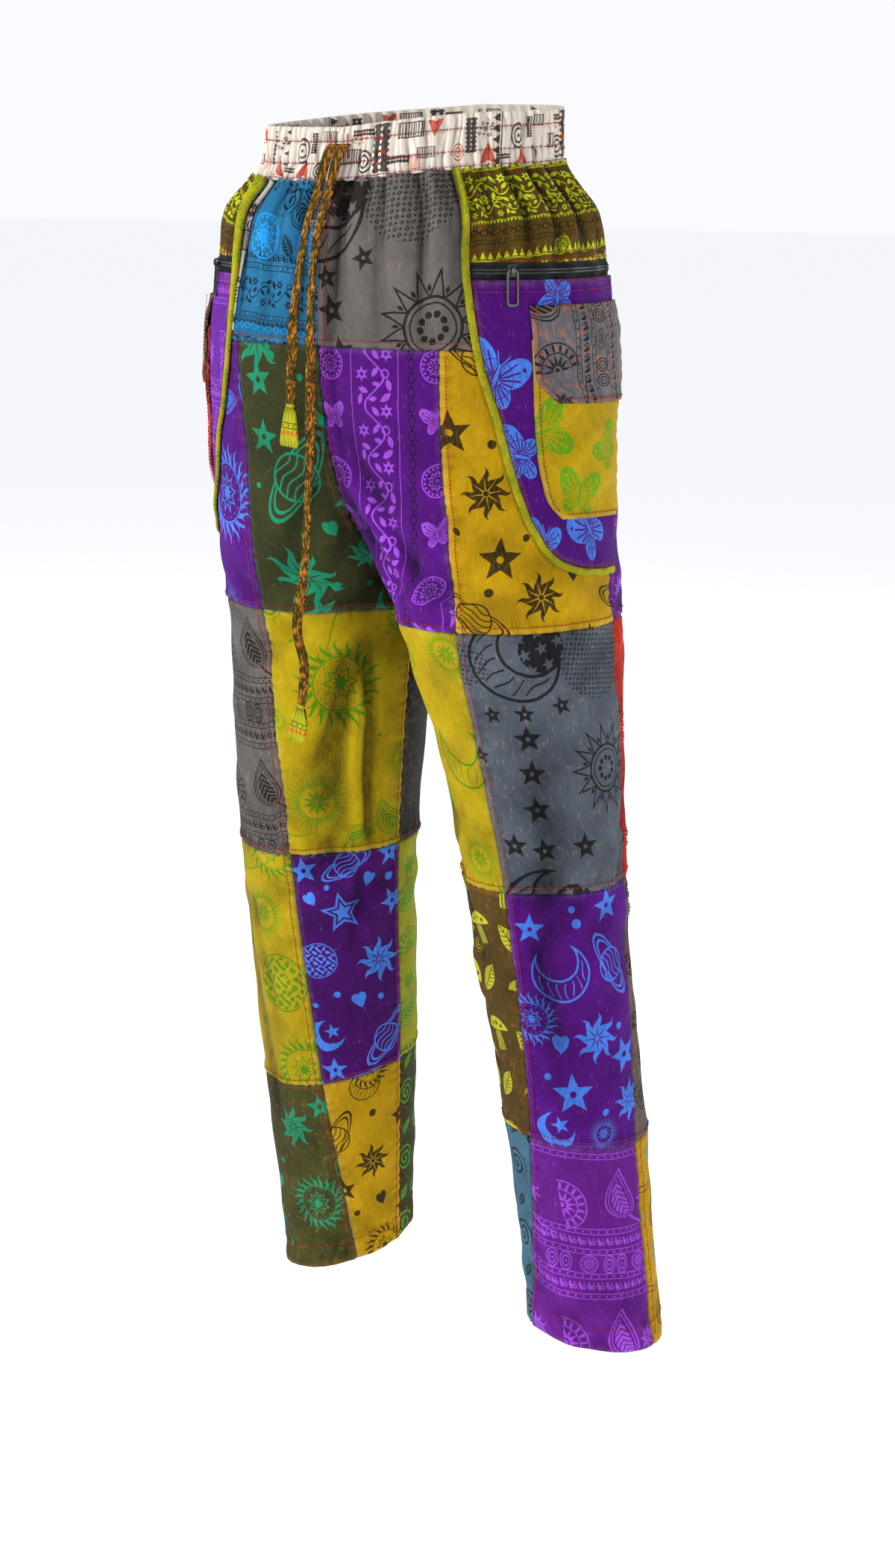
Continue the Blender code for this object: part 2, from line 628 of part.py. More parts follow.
def plate(name, outline, hole, half, place, colour):
    """Flat ring in the x-z plane, this thick both ways in y. Outline and hole hold (x, z)."""
    rings = [[Vector((x, way * half, z)) for x, z in ring] for way in (-1, 1) for ring in (outline, hole)]
    count = len(outline)
    points = [place @ (p * MM) for ring in rings for p in ring]
    faces = []
    for k in range(count):
        n = (k + 1) % count
        faces += [
            [k, n, count + n, count + k],
            [2 * count + k, 3 * count + k, 3 * count + n, 2 * count + n],
            [k, 2 * count + k, 2 * count + n, n],
            [count + k, count + n, 3 * count + n, 3 * count + k],
        ]
    return add_object(name, points, faces, colour)


def rounded_ring(width, height, corner, centre, arc=3):
    points = []
    for cx, cz, start in ((1, 1, 0), (-1, 1, 90), (-1, -1, 180), (1, -1, 270)):
        for k in range(arc + 1):
            angle = math.radians(start + 90 * k / arc)
            points.append((cx * (width / 2 - corner) + corner * math.cos(angle),
                           centre + cz * (height / 2 - corner) + corner * math.sin(angle)))
    return points


def zip_pull(side):
    name = NAMES[side]
    theta = math.radians(SLIDER_DEG[side])
    place = frame_at(side, theta, SLIDER_HEIGHT, 0.0)
    prism(f"{name}_zip_slider", SLIDER_BODY, SLIDER_EYE, place, "metal")
    # The pull is a flat loop round the slider's bridge, hanging close to the cloth
    lean = Matrix.Rotation(math.radians(PULL_LEAN[side]), 4, "X")
    hang = place @ Matrix.Translation(Vector((0, -HINGE_DEPTH, 0)) * MM) @ lean
    plate(f"{name}_zip_pull", rounded_ring(10, 28, 3.2, -13.2), rounded_ring(6, 24.4, 2.0, -13.0), 0.6, hang, "metal")


def tube(name, path, width, thick, colour, sides=8):
    """Flattened tube along points given in metres, its width across the wearer."""
    rings = []
    for i, here in enumerate(path):
        before, after = path[max(i - 1, 0)], path[min(i + 1, len(path) - 1)]
        way = (after - before).normalized()
        across = (Vector((1, 0, 0)) - way * way.x).normalized()
        deep = way.cross(across)
        w = width[i] if isinstance(width, list) else width
        t = thick[i] if isinstance(thick, list) else thick
        ring = []
        for k in range(sides):
            angle = 2 * math.pi * (k + 0.5) / sides
            c, s = math.cos(angle), math.sin(angle)
            square = 1 / max(abs(c), abs(s)) ** 0.5
            ring.append(here + across * (c * square * w / 2) + deep * (s * square * t / 2))
        rings.append(ring)
    points = [p for ring in rings for p in ring]
    faces = [list(range(sides))[::-1], [(len(rings) - 1) * sides + k for k in range(sides)]]
    for i in range(len(rings) - 1):
        for k in range(sides):
            n = (k + 1) % sides
            faces.append([i * sides + k, i * sides + n, (i + 1) * sides + n, (i + 1) * sides + k])
    return add_object(name, points, faces, colour)


def smooth_route(points, step):
    """Points at even steps along a smooth curve through these."""
    fine = []
    ends = [points[0] * 2 - points[1], *points, points[-1] * 2 - points[-2]]
    for a, b, c, d in zip(ends, ends[1:], ends[2:], ends[3:]):
        for k in range(20):
            t = k / 20
            fine.append(b + ((c - a) * t + (a * 2 - b * 5 + c * 4 - d) * t**2 + (b * 3 - a - c * 3 + d) * t**3) / 2)
    fine.append(points[-1])
    walked = [0.0]
    for a, b in zip(fine, fine[1:]):
        walked.append(walked[-1] + (b - a).length)
    count = round(walked[-1] / step)
    # the bend beside the band is tight, so its steps are shorter
    marks = [0.0, 0.004, 0.008, 0.012] + [0.012 + (walked[-1] - 0.012) * k / count for k in range(1, count + 1)]
    found = []
    for s in marks:
        i = min(max(k for k in range(len(walked)) if walked[k] <= s + 1e-9), len(fine) - 2)
        f = (s - walked[i]) / (walked[i + 1] - walked[i])
        found.append(fine[i].lerp(fine[i + 1], min(f, 1.0)))
    return found


def drawstring(name, route, tab):
    path = smooth_route([Vector(p) * MM for p in route], 0.018)
    tube(f"drawstring_{name}", path, CORD_WIDTH, CORD_THICK, "sand")
    way = (path[-1] - path[-2]).normalized()
    start = path[-1] + way * (GAP + 0.2 * MM)
    tab_path = [start + way * d * MM for d, _, _ in tab]
    tube(f"drawstring_tab_{name}", tab_path, [w * MM for _, w, _ in tab], [t * MM for _, _, t in tab], "lime")


def main():
    waistband()
    for side in (LEFT, RIGHT):
        name = NAMES[side]
        yoke(side, f"{name}_front_yoke", lambda z, s=side: -reach(s, z),
             lambda z, s=side: behind_binding(s, z, -2 * MM), 26, "charcoal" if side == LEFT else "denim")
        yoke(side, f"{name}_back_yoke", lambda z, s=side: seam(s, z, 2),
             lambda z, s=side: reach(s, z), 32, "olive" if side == LEFT else "purple")
        for row in ROWS:
            for column, colour in enumerate(PATCHES[side, row]):
                patch(side, row, column, colour)
        pocket(side)
        zip_pull(side)
    drawstring("short", SHORT_CORD, FAN_TAB)
    drawstring("long", LONG_CORD, DROP_TAB)


main()
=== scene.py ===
"""The looks of the patchwork trousers: printed and washed cotton, seams, stitching, zips and drawstring.

The garment hangs in its worn pose: +Z is up, the front faces -Y and the wearer's left is +X. A point of the
cloth is named by its half, its angle round that half's ellipse (-90 degrees is the front, 0 the side, 90 the
back) and its height, all as in the solids that this script dresses. Lengths are in metres, and the prints
are drawn in millimetres of cloth.
"""

from __future__ import annotations

import logging
import math
from collections.abc import Callable, Sequence
from dataclasses import dataclass, field
from enum import Enum
from functools import cached_property

import bpy
import numpy as np
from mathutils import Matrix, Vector

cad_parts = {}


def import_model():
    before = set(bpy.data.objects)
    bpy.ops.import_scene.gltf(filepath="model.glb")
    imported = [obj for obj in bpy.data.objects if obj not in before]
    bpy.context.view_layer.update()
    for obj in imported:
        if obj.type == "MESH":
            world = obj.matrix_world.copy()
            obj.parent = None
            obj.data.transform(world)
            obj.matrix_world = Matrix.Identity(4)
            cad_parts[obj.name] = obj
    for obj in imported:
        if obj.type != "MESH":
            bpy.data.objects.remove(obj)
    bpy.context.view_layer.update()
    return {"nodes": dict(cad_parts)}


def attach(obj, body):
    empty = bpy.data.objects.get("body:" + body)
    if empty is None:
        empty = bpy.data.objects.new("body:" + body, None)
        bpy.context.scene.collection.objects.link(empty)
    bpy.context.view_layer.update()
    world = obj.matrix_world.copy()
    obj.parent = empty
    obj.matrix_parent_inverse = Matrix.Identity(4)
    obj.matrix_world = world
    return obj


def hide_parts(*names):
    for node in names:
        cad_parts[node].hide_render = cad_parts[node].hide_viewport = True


Array = np.ndarray
log = logging.getLogger("trousers")

MM = 0.001
GAP = 0.3 * MM
SEAM_GAP = 0.1 * MM  # what shows between two sewn pieces
CLOTH = 1.6 * MM
BAND_WALL = 3.0 * MM
BAND_HEIGHT = 41 * MM
BODY = "trousers"

# Grid of the fine cloth, and how many of its steps the hidden inner face takes at once
FINE = 2.3 * MM
COARSE = 3

YOKE_END, THIGH_END, KNEE_END, SHIN_END, HEM_END = -0.150, -0.370, -0.585, -0.800, -0.980
ROWS = {
    "thigh": (YOKE_END, THIGH_END),
    "knee": (THIGH_END, KNEE_END),
    "shin": (KNEE_END, SHIN_END),
    "hem": (SHIN_END, HEM_END),
}
COLUMNS = ("front_inner", "front_outer", "back_outer", "back_inner")


class Side(Enum):
    """Half of the garment, as the wearer says it."""

    LEFT = 1
    RIGHT = -1


# The hips, the same on both halves. Columns: height, ellipse centre from the middle plane, half width,
# depth of the front, depth of the back, shift in x, shift in y
HIPS = (
    (0.045, 0.000, 0.127, 0.090, 0.096, 0.000, 0.000), (-0.010, 0.000, 0.130, 0.094, 0.100, -0.003, 0.000),
    (-0.026, 0.002, 0.140, 0.098, 0.106, -0.005, 0.001), (-0.050, 0.006, 0.158, 0.108, 0.120, -0.009, 0.003),
    (-0.100, 0.014, 0.158, 0.114, 0.130, -0.012, 0.006), (-0.150, 0.022, 0.156, 0.116, 0.132, -0.014, 0.008),
    (-0.220, 0.044, 0.132, 0.114, 0.130, -0.014, 0.010), (-0.290, 0.070, 0.106, 0.108, 0.120, -0.012, 0.012),
    (-0.345, 0.088, 0.088, 0.100, 0.108, -0.008, 0.014), (-0.390, 0.093, 0.085, 0.094, 0.100, -0.006, 0.017),
)
# The legs. Columns: height, centre in x, half width, depth of the front, depth of the back, centre in y
LEGS = {
    Side.LEFT: (
        (-0.480, 0.100, 0.075, 0.080, 0.090, 0.022), (-0.620, 0.118, 0.063, 0.072, 0.076, 0.026),
        (-0.760, 0.138, 0.059, 0.066, 0.068, 0.032), (-0.900, 0.152, 0.056, 0.060, 0.062, 0.038),
        (-0.990, 0.160, 0.056, 0.060, 0.062, 0.042),
    ),
    Side.RIGHT: (
        (-0.480, -0.106, 0.080, 0.088, 0.090, 0.020), (-0.620, -0.120, 0.076, 0.078, 0.078, 0.034),
        (-0.760, -0.126, 0.070, 0.072, 0.072, 0.052), (-0.900, -0.130, 0.062, 0.064, 0.064, 0.066),
        (-0.990, -0.130, 0.056, 0.060, 0.060, 0.072),
    ),
}
LEG_SHIFT = -0.006
# Slope of the hem line against x and y, fading in below the thigh
HEM_SLOPE = {Side.LEFT: (-0.15, -0.10), Side.RIGHT: (0.20, 0.22)}
# Height of the band's top edge. Columns: way round from centre front (0) to centre back (1), height
BAND_TOP = {
    Side.LEFT: ((0.0, 0.0165), (0.25, 0.026), (0.5, 0.030), (0.75, 0.034), (1.0, 0.036)),
    Side.RIGHT: ((0.0, 0.0165), (0.25, 0.018), (0.5, 0.022), (0.75, 0.030), (1.0, 0.036)),
}
# Seams between the four columns of a leg. Columns: height, front seam, side seam, back seam in degrees
SEAMS = {
    Side.LEFT: (
        (-0.020, -56, 24, 86), (-0.150, -58, 24, 88), (-0.280, -67, 20, 90), (-0.370, -80, 14, 92),
        (-0.480, -84, 20, 94), (-0.585, -80, 24, 95), (-0.690, -84, 14, 94), (-0.800, -93, 4, 92),
        (-0.910, -109, 4, 92), (-0.980, -122, 7, 92),
    ),
    Side.RIGHT: (
        (-0.020, -58, 20, 84), (-0.150, -63, 20, 86), (-0.260, -78, 18, 88), (-0.370, -91, 14, 90),
        (-0.480, -98, 12, 92), (-0.585, -104, 10, 92), (-0.690, -109, 8, 92), (-0.800, -115, 6, 90),
        (-0.890, -124, 4, 88), (-0.980, -136, 2, 86),
    ),
}
# Outline of the side pocket from the waistband down its free edge and round to the side seam.
# Columns: degrees, height
POCKET_EDGE = {
    Side.LEFT: ((-47, -0.012), (-48, -0.050), (-49, -0.090), (-47, -0.160), (-43, -0.200), (-40, -0.240),
                (-35, -0.284), (-27, -0.311), (-14, -0.325), (2, -0.330), (15, -0.331)),
    Side.RIGHT: ((-57, -0.018), (-59, -0.050), (-60, -0.090), (-60, -0.160), (-58, -0.200), (-54, -0.240),
                 (-47, -0.284), (-36, -0.311), (-20, -0.325), (0, -0.330), (14, -0.331)),
}
ZIP_TOP, ZIP_END = -0.0840, -0.0970
BINDING = 6 * MM
# Columns: degrees of the front corner, height of the top, height of the bottom
POUCH = {Side.LEFT: (-28, -0.142, -0.281), Side.RIGHT: (-36, -0.142, -0.281)}
FLAP = {Side.LEFT: (-28, -0.1165, -0.190), Side.RIGHT: (-36, -0.1165, -0.190)}
# Their cut corners. Columns: share of the height, inset of the front edge in millimetres
POUCH_CORNER = ((0, 0), (0.62, 1), (0.80, 3.5), (0.92, 10), (1, 22))
FLAP_CORNER = ((0, 0), (0.55, 1), (0.78, 3), (1, 19))

HIP_RADIUS, SIDE_RADIUS = 0.13, 0.12  # metres of cloth for a radian in front of the pocket and at the side seam
LEG_RADIUS = 0.085
CREASE_GAIN = 1.5  # how much deeper the creases are than their column says
YOKE_GATHERS = 15  # on each half below the band, and finer ones between them
FINE_GATHERS = 41
# Long soft folds of the legs, as in the solids.
# Columns: degrees and height of each end, half width, depth (- is a trough)
FOLDS = {
    Side.LEFT: (
        (-150, -0.350, -128, -0.640, 0.016, -0.0050), (-130, -0.300, -108, -0.480, 0.018, 0.0030),
        (-45, -0.420, -60, -0.780, 0.018, -0.0035), (58, -0.380, 44, -0.800, 0.020, -0.0040),
        (130, -0.420, 118, -0.880, 0.020, -0.0040),
    ),
    Side.RIGHT: (
        (-150, -0.350, -122, -0.620, 0.016, -0.0050), (-132, -0.330, -100, -0.520, 0.018, 0.0035),
        (-40, -0.560, -70, -0.900, 0.018, -0.0035), (60, -0.380, 40, -0.760, 0.020, -0.0040),
        (130, -0.400, 110, -0.860, 0.020, -0.0040),
    ),
}
# Smaller creases that only the fine cloth has, with the same columns
CREASES = {
    Side.LEFT: (
        (-168, -0.160, -146, -0.350, 0.012, -0.0045), (-120, -0.120, -108, -0.240, 0.009, -0.0034),
        (-128, -0.160, -112, -0.330, 0.007, -0.0024), (-112, -0.170, -100, -0.380, 0.007, 0.0024),
        (-98, -0.200, -92, -0.350, 0.006, -0.0018), (-150, -0.420, -118, -0.560, 0.007, -0.0020),
        (-160, -0.560, -110, -0.620, 0.006, -0.0022), (-165, -0.600, -108, -0.652, 0.006, -0.0024),
        (-160, -0.645, -116, -0.690, 0.006, 0.0018), (-160, -0.700, -120, -0.760, 0.007, -0.0018),
        (-70, -0.600, -52, -0.700, 0.008, -0.0012), (-96, -0.860, -78, -0.950, 0.008, 0.0012),
        (40, -0.420, 12, -0.600, 0.008, -0.0016), (150, -0.330, 116, -0.450, 0.008, -0.0026),
        (162, -0.370, 122, -0.520, 0.009, 0.0022), (90, -0.640, 66, -0.800, 0.008, -0.0016),
    ),
    Side.RIGHT: (
        (-118, -0.150, -106, -0.330, 0.007, -0.0022), (-136, -0.170, -120, -0.360, 0.008, 0.0024),
        (-151, -0.384, -157, -0.600, 0.006, -0.0040), (-143, -0.390, -148, -0.590, 0.007, 0.0026),
        (-172, -0.150, -152, -0.370, 0.015, -0.0060), (-158, -0.160, -138, -0.340, 0.010, 0.0034),
        (-150, -0.590, -142, -0.680, 0.006, -0.0020), (-150, -0.400, -118, -0.520, 0.007, -0.0020),
        (-158, -0.440, -120, -0.590, 0.008, 0.0020), (-60, -0.600, -86, -0.770, 0.008, -0.0014),
        (-30, -0.840, -54, -0.960, 0.008, -0.0014), (-120, -0.840, -100, -0.950, 0.007, 0.0013),
        (20, -0.400, -10, -0.560, 0.008, -0.0016), (150, -0.330, 118, -0.440, 0.008, -0.0026),
        (160, -0.360, 120, -0.500, 0.009, 0.0022), (84, -0.620, 60, -0.780, 0.008, -0.0016),
    ),
}

# Drawstring ends, the same points as their solids. Columns: x, y, z in millimetres
CORD_WIDTH, CORD_THICK = 9 * MM, 2.4 * MM
SHORT_CORD = (
    (-5.0, -94.1, 3), (-5.0, -97.5, 3), (-5.4, -101.0, 0), (-6.6, -104.5, -8), (-9.6, -109.5, -28),
    (-16, -115.5, -55), (-21, -117.5, -80), (-27, -118.5, -113), (-31, -118.5, -150), (-34, -118, -195),
)
LONG_CORD = (
    (5.0, -93.9, 3), (5.0, -97.5, 3), (4.8, -101.0, 0), (3.8, -104.5, -8), (1.2, -109.5, -28),
    (-4, -115.5, -55), (-8.5, -117.5, -80), (-11.5, -118.5, -113), (-12.5, -119, -160), (-14, -118, -208),
    (-17, -117, -250), (-21, -116, -300), (-26, -115, -338), (-33, -114, -368), (-33, -113, -384),
    (-28, -113, -400), (-28, -113, -418), (-31, -113, -437),
)
# Tabs on the ends. Columns: distance down, width, thickness in millimetres
FAN_TAB = ((0, 8, 3.2), (5, 11, 4.0), (14, 15, 4.4), (24, 18.5, 4.2), (31, 20, 3.4), (34, 18, 1.6))
DROP_TAB = ((0, 8, 3.2), (5, 12, 4.0), (13, 18, 4.8), (21, 20, 4.8), (28, 17, 4.0), (32, 9, 2.0))


# ---------------------------------------------------------------- the worn form


def smooth(t: Array | float) -> Array | float:
    """0 below 0, 1 above 1, and an even rise between."""
    t = np.clip(t, 0.0, 1.0)
    return t * t * (3 - 2 * t)


def bell(distance: Array, width: float) -> Array:
    """1 at no distance, fading evenly to both sides over this width."""
    return np.exp(-((distance / width) ** 2))


def along_table(table: Sequence[Sequence[float]], x: Array | float, column: int) -> Array:
    """Read a table's column at x.

    Args:
        table: rows whose first value rises or falls steadily.
        x: where to read it.
        column: which value of a row to read.

    Returns:
        A smooth curve through the rows, flat beyond its ends.
    """
    rows = sorted(table)
    xs = np.array([row[0] for row in rows], float)
    vs = np.array([row[column] for row in rows], float)
    last = len(xs) - 1
    before, after = np.maximum(np.arange(last + 1) - 1, 0), np.minimum(np.arange(last + 1) + 1, last)
    slopes = (vs[after] - vs[before]) / (xs[after] - xs[before])
    x = np.clip(x, xs[0], xs[-1])
    i = np.clip(np.searchsorted(xs, x, side="right") - 1, 0, last - 1)
    h = xs[i + 1] - xs[i]
    t = (x - xs[i]) / h
    return (
        (2 * t**3 - 3 * t**2 + 1) * vs[i]
        + (t**3 - 2 * t**2 + t) * h * slopes[i]
        + (3 * t**2 - 2 * t**3) * vs[i + 1]
        + (t**3 - t**2) * h * slopes[i + 1]
    )


def unit(vectors: Array) -> Array:
    """The same directions at length 1."""
    return vectors / np.maximum(np.linalg.norm(vectors, axis=-1, keepdims=True), 1e-12)


def uneven_wave(s: Array, period: float, seed: float) -> Array:
    """A wave along s whose length and phase wander, as hand-fed sewing puckers do."""
    phase = 2 * math.pi * s / period
    return np.sin(phase + 1.4 * np.sin(0.31 * phase + seed) + 0.8 * np.sin(0.13 * phase + 2 * seed) + seed)


@dataclass(frozen=True)
class Half:
    """One half of the worn garment: the form that its cloth follows.

    Attributes:
        side: which half.
        pucker: height of the ripples that the sewing draws up.
        groove: depth of the line where two pieces meet.
        ridge: height of the seam allowance under the cloth.
        ridge_width: width of that allowance.
    """

    side: Side
    pucker: float = 0.8 * MM
    groove: float = 0.9 * MM
    ridge: float = 0.7 * MM
    ridge_width: float = 8 * MM

    @property
    def sign(self) -> int:
        """1 on the wearer's left, -1 on the right."""
        return self.side.value

    @property
    def name(self) -> str:
        """The half's name in piece names."""
        return self.side.name.lower()

    @cached_property
    def table(self) -> tuple[tuple[float, ...], ...]:
        """Sections of the hips and this leg, with the columns of HIPS."""
        legs = tuple(
            (z, self.sign * (x - LEG_SHIFT), rx, front, back, LEG_SHIFT, y)
            for z, x, rx, front, back, y in LEGS[self.side]
        )
        return HIPS + legs

    def section(self, z: Array | float) -> list[Array]:
        """Centre, half width, front and back depth, and the shifts in x and y at these heights."""
        return [along_table(self.table, z, column) for column in range(1, 7)]

    def reach(self, z: Array | float) -> Array:
        """Angle at which this half meets the other one: 180 degrees from the crotch down."""
        centre, rx = self.section(z)[:2]
        return np.arccos(np.clip(-centre / rx, -1, 1))

    def way(self, theta: Array, z: Array) -> Array:
        """0 at the centre front or the inseam's front side, 1 at the centre back."""
        full = self.reach(z)
        return (theta + full) / (2 * full)

    def form(self, theta: Array, z: Array) -> Array:
        """The smooth worn form, before folds: x counts away from the middle plane."""
        centre, rx, front, back, _, shift_y = self.section(z)
        across = rx * np.cos(theta)
        along = np.where(theta < 0, front, back) * np.sin(theta)
        slope_x, slope_y = HEM_SLOPE[self.side]
        fade = smooth((THIGH_END - z) / (THIGH_END - HEM_END)) ** 1.5
        drop = fade * (slope_x * self.sign * across + slope_y * along)
        return np.stack([centre + across, along + shift_y, z + drop], axis=-1)

    def outward(self, theta: Array, z: Array) -> Array:
        """Unit normals of the form."""
        step = 0.0004
        round_ = self.form(theta + step, z) - self.form(theta - step, z)
        up = self.form(theta, z + step) - self.form(theta, z - step)
        return unit(np.cross(round_, up))

    def radius(self, theta: Array, z: Array) -> Array:
        """Metres of cloth for each radian."""
        step = 0.001
        return np.linalg.norm(self.form(theta + step, z) - self.form(theta - step, z), axis=-1) / (2 * step)

    def seam(self, z: Array | float, which: int) -> Array:
        """Angle of the front, side or back seam (1, 2, 3)."""
        return np.radians(along_table(SEAMS[self.side], z, which))

    def gathers(self, theta: Array, z: Array) -> Array:
        """Gathers below the waistband, deepest at the band, with finer ones between them."""
        way = self.way(theta, z)
        even = way + 0.006 * np.sin(6 * math.pi * way)
        wave = np.cos(2 * math.pi * YOKE_GATHERS * even) + 0.22 * np.cos(4 * math.pi * YOKE_GATHERS * even)
        calm = 3.2 * MM * (1 - smooth((-0.020 - z) / 0.125)) * (0.75 + 0.25 * np.cos(10 * math.pi * way)) * wave
        way = even + 0.004 * np.sin(22 * math.pi * way) + 0.12 * (z + 0.02) * np.sin(5 * math.pi * way)
        deep = 5.0 * MM * (1 - smooth((-0.028 - z) / 0.145)) * (0.72 + 0.28 * np.cos(11 * math.pi * way))
        small = 2.4 * MM * (1 - smooth((-0.020 - z) / 0.095))
        fine = 0.9 * MM * (1 - smooth((-0.015 - z) / 0.045)) * np.cos(2 * math.pi * FINE_GATHERS * way)
        out = deep * (1.6 * np.abs(np.cos(math.pi * YOKE_GATHERS * way)) ** 0.75 - 1)
        out = out + small * (1.6 * np.abs(np.cos(29 * math.pi * way + 0.6)) ** 0.75 - 1) + fine
        pocket = smooth((-0.055 - z) / 0.02) * smooth((theta + 1.0) / 0.08) * smooth((0.47 - theta) / 0.08)
        return out + (calm - out) * pocket

    def folds(self, theta: Array, z: Array) -> Array:
        """Troughs and ridges of the two fold tables."""
        total = np.zeros(np.broadcast(theta, z).shape)
        creases = (row[:-1] + (row[-1] * CREASE_GAIN,) for row in CREASES[self.side])
        for deg0, z0, deg1, z1, width, depth in (*FOLDS[self.side], *creases):
            line = np.array([math.radians(deg1 - deg0) * LEG_RADIUS, z1 - z0])
            here = np.stack([(theta - math.radians(deg0)) * LEG_RADIUS, z - z0], axis=-1)
            along = here @ line / (line @ line)
            off = (here[..., 0] * line[1] - here[..., 1] * line[0]) / math.hypot(*line)
            off = off + 0.25 * width * np.sin(9 * along + depth * 4000)
            total += depth * smooth(along / 0.25) * smooth((1 - along) / 0.25) * bell(off, width)
        return total * smooth((self.reach(z) - np.abs(theta)) * LEG_RADIUS / 0.02)

    def sewing(self, theta: Array, z: Array) -> Array:
        """Grooves, seam allowances and puckers along the seams of the legs."""
        radius = self.radius(theta, z)
        total = np.zeros(np.broadcast(theta, z).shape)
        lines = [(z - height, theta * 0.09, k) for k, height in enumerate((YOKE_END, THIGH_END, KNEE_END, SHIN_END))]
        below = smooth((YOKE_END + 0.004 - z) / 0.008)
        full = self.reach(z)
        for k, angle in enumerate((self.seam(z, 1), self.seam(z, 2), self.seam(z, 3), -full, full)):
            lines.append(((theta - angle) * radius, z, 5 + k))
        for distance, along, seed in lines:
            here = 1.0 if seed < 5 else below
            wave = uneven_wave(along, 11 * MM, 1.7 * seed + self.sign)
            lumps = 0.75 + 0.25 * uneven_wave(along, 37 * MM, seed)
            allowance = smooth(distance / MM) * smooth((self.ridge_width - distance) / (2.5 * MM))
            total += here * self.pucker * bell(distance - 3 * MM, 9 * MM) * wave * lumps
            total += here * (self.ridge * allowance - self.groove * bell(distance, 1.3 * MM))
        hem = z - (HEM_END + 20 * MM)
        total += 0.6 * MM * smooth(-hem / MM) + 0.8 * MM * bell(hem + 6 * MM, 12 * MM) * uneven_wave(
            theta * 0.06 + 0.35 * z, 15 * MM, 4.0 + self.sign
        )
        return total

    def relief(self, theta: Array, z: Array, sewn: bool = True) -> Array:
        """How far the folded cloth stands out from the smooth form."""
        out = self.gathers(theta, z) + self.folds(theta, z)
        s = theta * LEG_RADIUS
        slack = 0.5 + bell(z + 0.36, 0.09) + 0.8 * bell(z + 0.60, 0.07) + 0.6 * smooth((-0.86 - z) / 0.10)
        waves = uneven_wave(z + 0.55 * s, 0.075, 1.0 + self.sign)
        waves = waves + 0.7 * uneven_wave(z - 0.8 * s, 0.052, 2.3 * self.sign)
        free = smooth((-0.15 - z) / 0.05) * smooth((math.pi - np.abs(theta)) / 0.25)
        out = out + 0.8 * MM * slack * waves * free
        return out + self.sewing(theta, z) if sewn else out

    def skin(self, theta: Array, z: Array, lift: Array | float = 0.0, sewn: bool = True) -> Array:
        """Points of the cloth's outer face.

        Args:
            theta: angles round this half.
            z: heights, of the same shape.
            lift: how far out from the face the points lie.
            sewn: whether the leg seams show in it.

        Returns:
            World positions, three numbers for each angle.
        """
        theta, z = np.broadcast_arrays(np.asarray(theta, float), np.asarray(z, float))
        out = self.relief(theta, z, sewn) + lift
        points = self.form(theta, z) + self.outward(theta, z) * np.expand_dims(out, -1)
        points[..., 0] = self.sign * np.maximum(points[..., 0], SEAM_GAP / 2) + self.section(z)[4]
        return points

    def facing(self, theta: Array, z: Array) -> Array:
        """World normals of the smooth form."""
        return self.outward(theta, z) * np.array([self.sign, 1, 1])

    def band_bottom(self, way: Array) -> Array:
        """Height of the waistband's lower edge."""
        return along_table(BAND_TOP[self.side], way, 1) - BAND_HEIGHT


HALVES = (Half(Side.LEFT), Half(Side.RIGHT))


# ---------------------------------------------------------------- meshes


def make_mesh(
    name: str, points: Array, faces: Sequence[Array], uv: Array, edge: Array | None = None, crest: Array | None = None
) -> bpy.types.Object:
    """Make a smooth mesh object.

    Args:
        name: the piece's name.
        points: its vertices.
        faces: arrays of vertex numbers, one array for each number of corners.
        uv: cloth coordinates in metres for each vertex.
        edge: distance to the piece's edge in metres for each vertex.
        crest: how far each vertex stands out, in millimetres, which the material paints as shade in hollows and as
            highlight on crests, with any painted shadow added in.

    Returns:
        The linked object, its faces turned outward.
    """
    points = np.ascontiguousarray(points.reshape(-1, 3), dtype=np.float32)
    triangles = np.concatenate([f[:, [0, k, k + 1]] for f in faces for k in range(1, f.shape[1] - 1)])
    corners = points[triangles].astype(float) - points.mean(0)
    if np.einsum("ij,ij->i", corners[:, 0], np.cross(corners[:, 1], corners[:, 2])).sum() < 0:
        faces = [f[:, ::-1] for f in faces]
    loops = np.concatenate([f.ravel() for f in faces]).astype(np.int32)
    sizes = np.concatenate([np.full(len(f), f.shape[1]) for f in faces]).astype(np.int32)
    starts = np.concatenate([[0], np.cumsum(sizes)[:-1]]).astype(np.int32)
    mesh = bpy.data.meshes.new(name)
    mesh.vertices.add(len(points))
    mesh.vertices.foreach_set("co", points.ravel())
    mesh.loops.add(len(loops))
    mesh.loops.foreach_set("vertex_index", loops)
    mesh.polygons.add(len(sizes))
    mesh.polygons.foreach_set("loop_start", starts)
    mesh.polygons.foreach_set("use_smooth", np.ones(len(sizes), bool))
    mesh.update(calc_edges=True)
    mesh.validate()
    layer = mesh.uv_layers.new(name="Print")
    used = np.zeros(len(mesh.loops), np.int32)
    mesh.loops.foreach_get("vertex_index", used)
    layer.data.foreach_set("uv", uv.reshape(-1, 2)[used].astype(np.float32).ravel())
    # The second attribute carries relief and painted shade, which the material turns into darker and lighter colour.
    for key, values in (("edge", edge), ("crest", crest)):
        if values is not None:
            mesh.attributes.new(key, "FLOAT", "POINT").data.foreach_set("value", values.ravel().astype(np.float32))
    made = bpy.data.objects.new(name, mesh)
    bpy.context.scene.collection.objects.link(made)
    return made


def grid_faces(rows: int, cols: int, start: int = 0, wrap: bool = False) -> Array:
    """Quads of a grid of points whose first one has this number. wrap joins the last column to the first."""
    i, j = np.meshgrid(np.arange(rows - 1), np.arange(cols if wrap else cols - 1), indexing="ij")
    n = (j + 1) % cols
    return start + np.stack([i * cols + j, i * cols + n, (i + 1) * cols + n, (i + 1) * cols + j], -1).reshape(-1, 4)


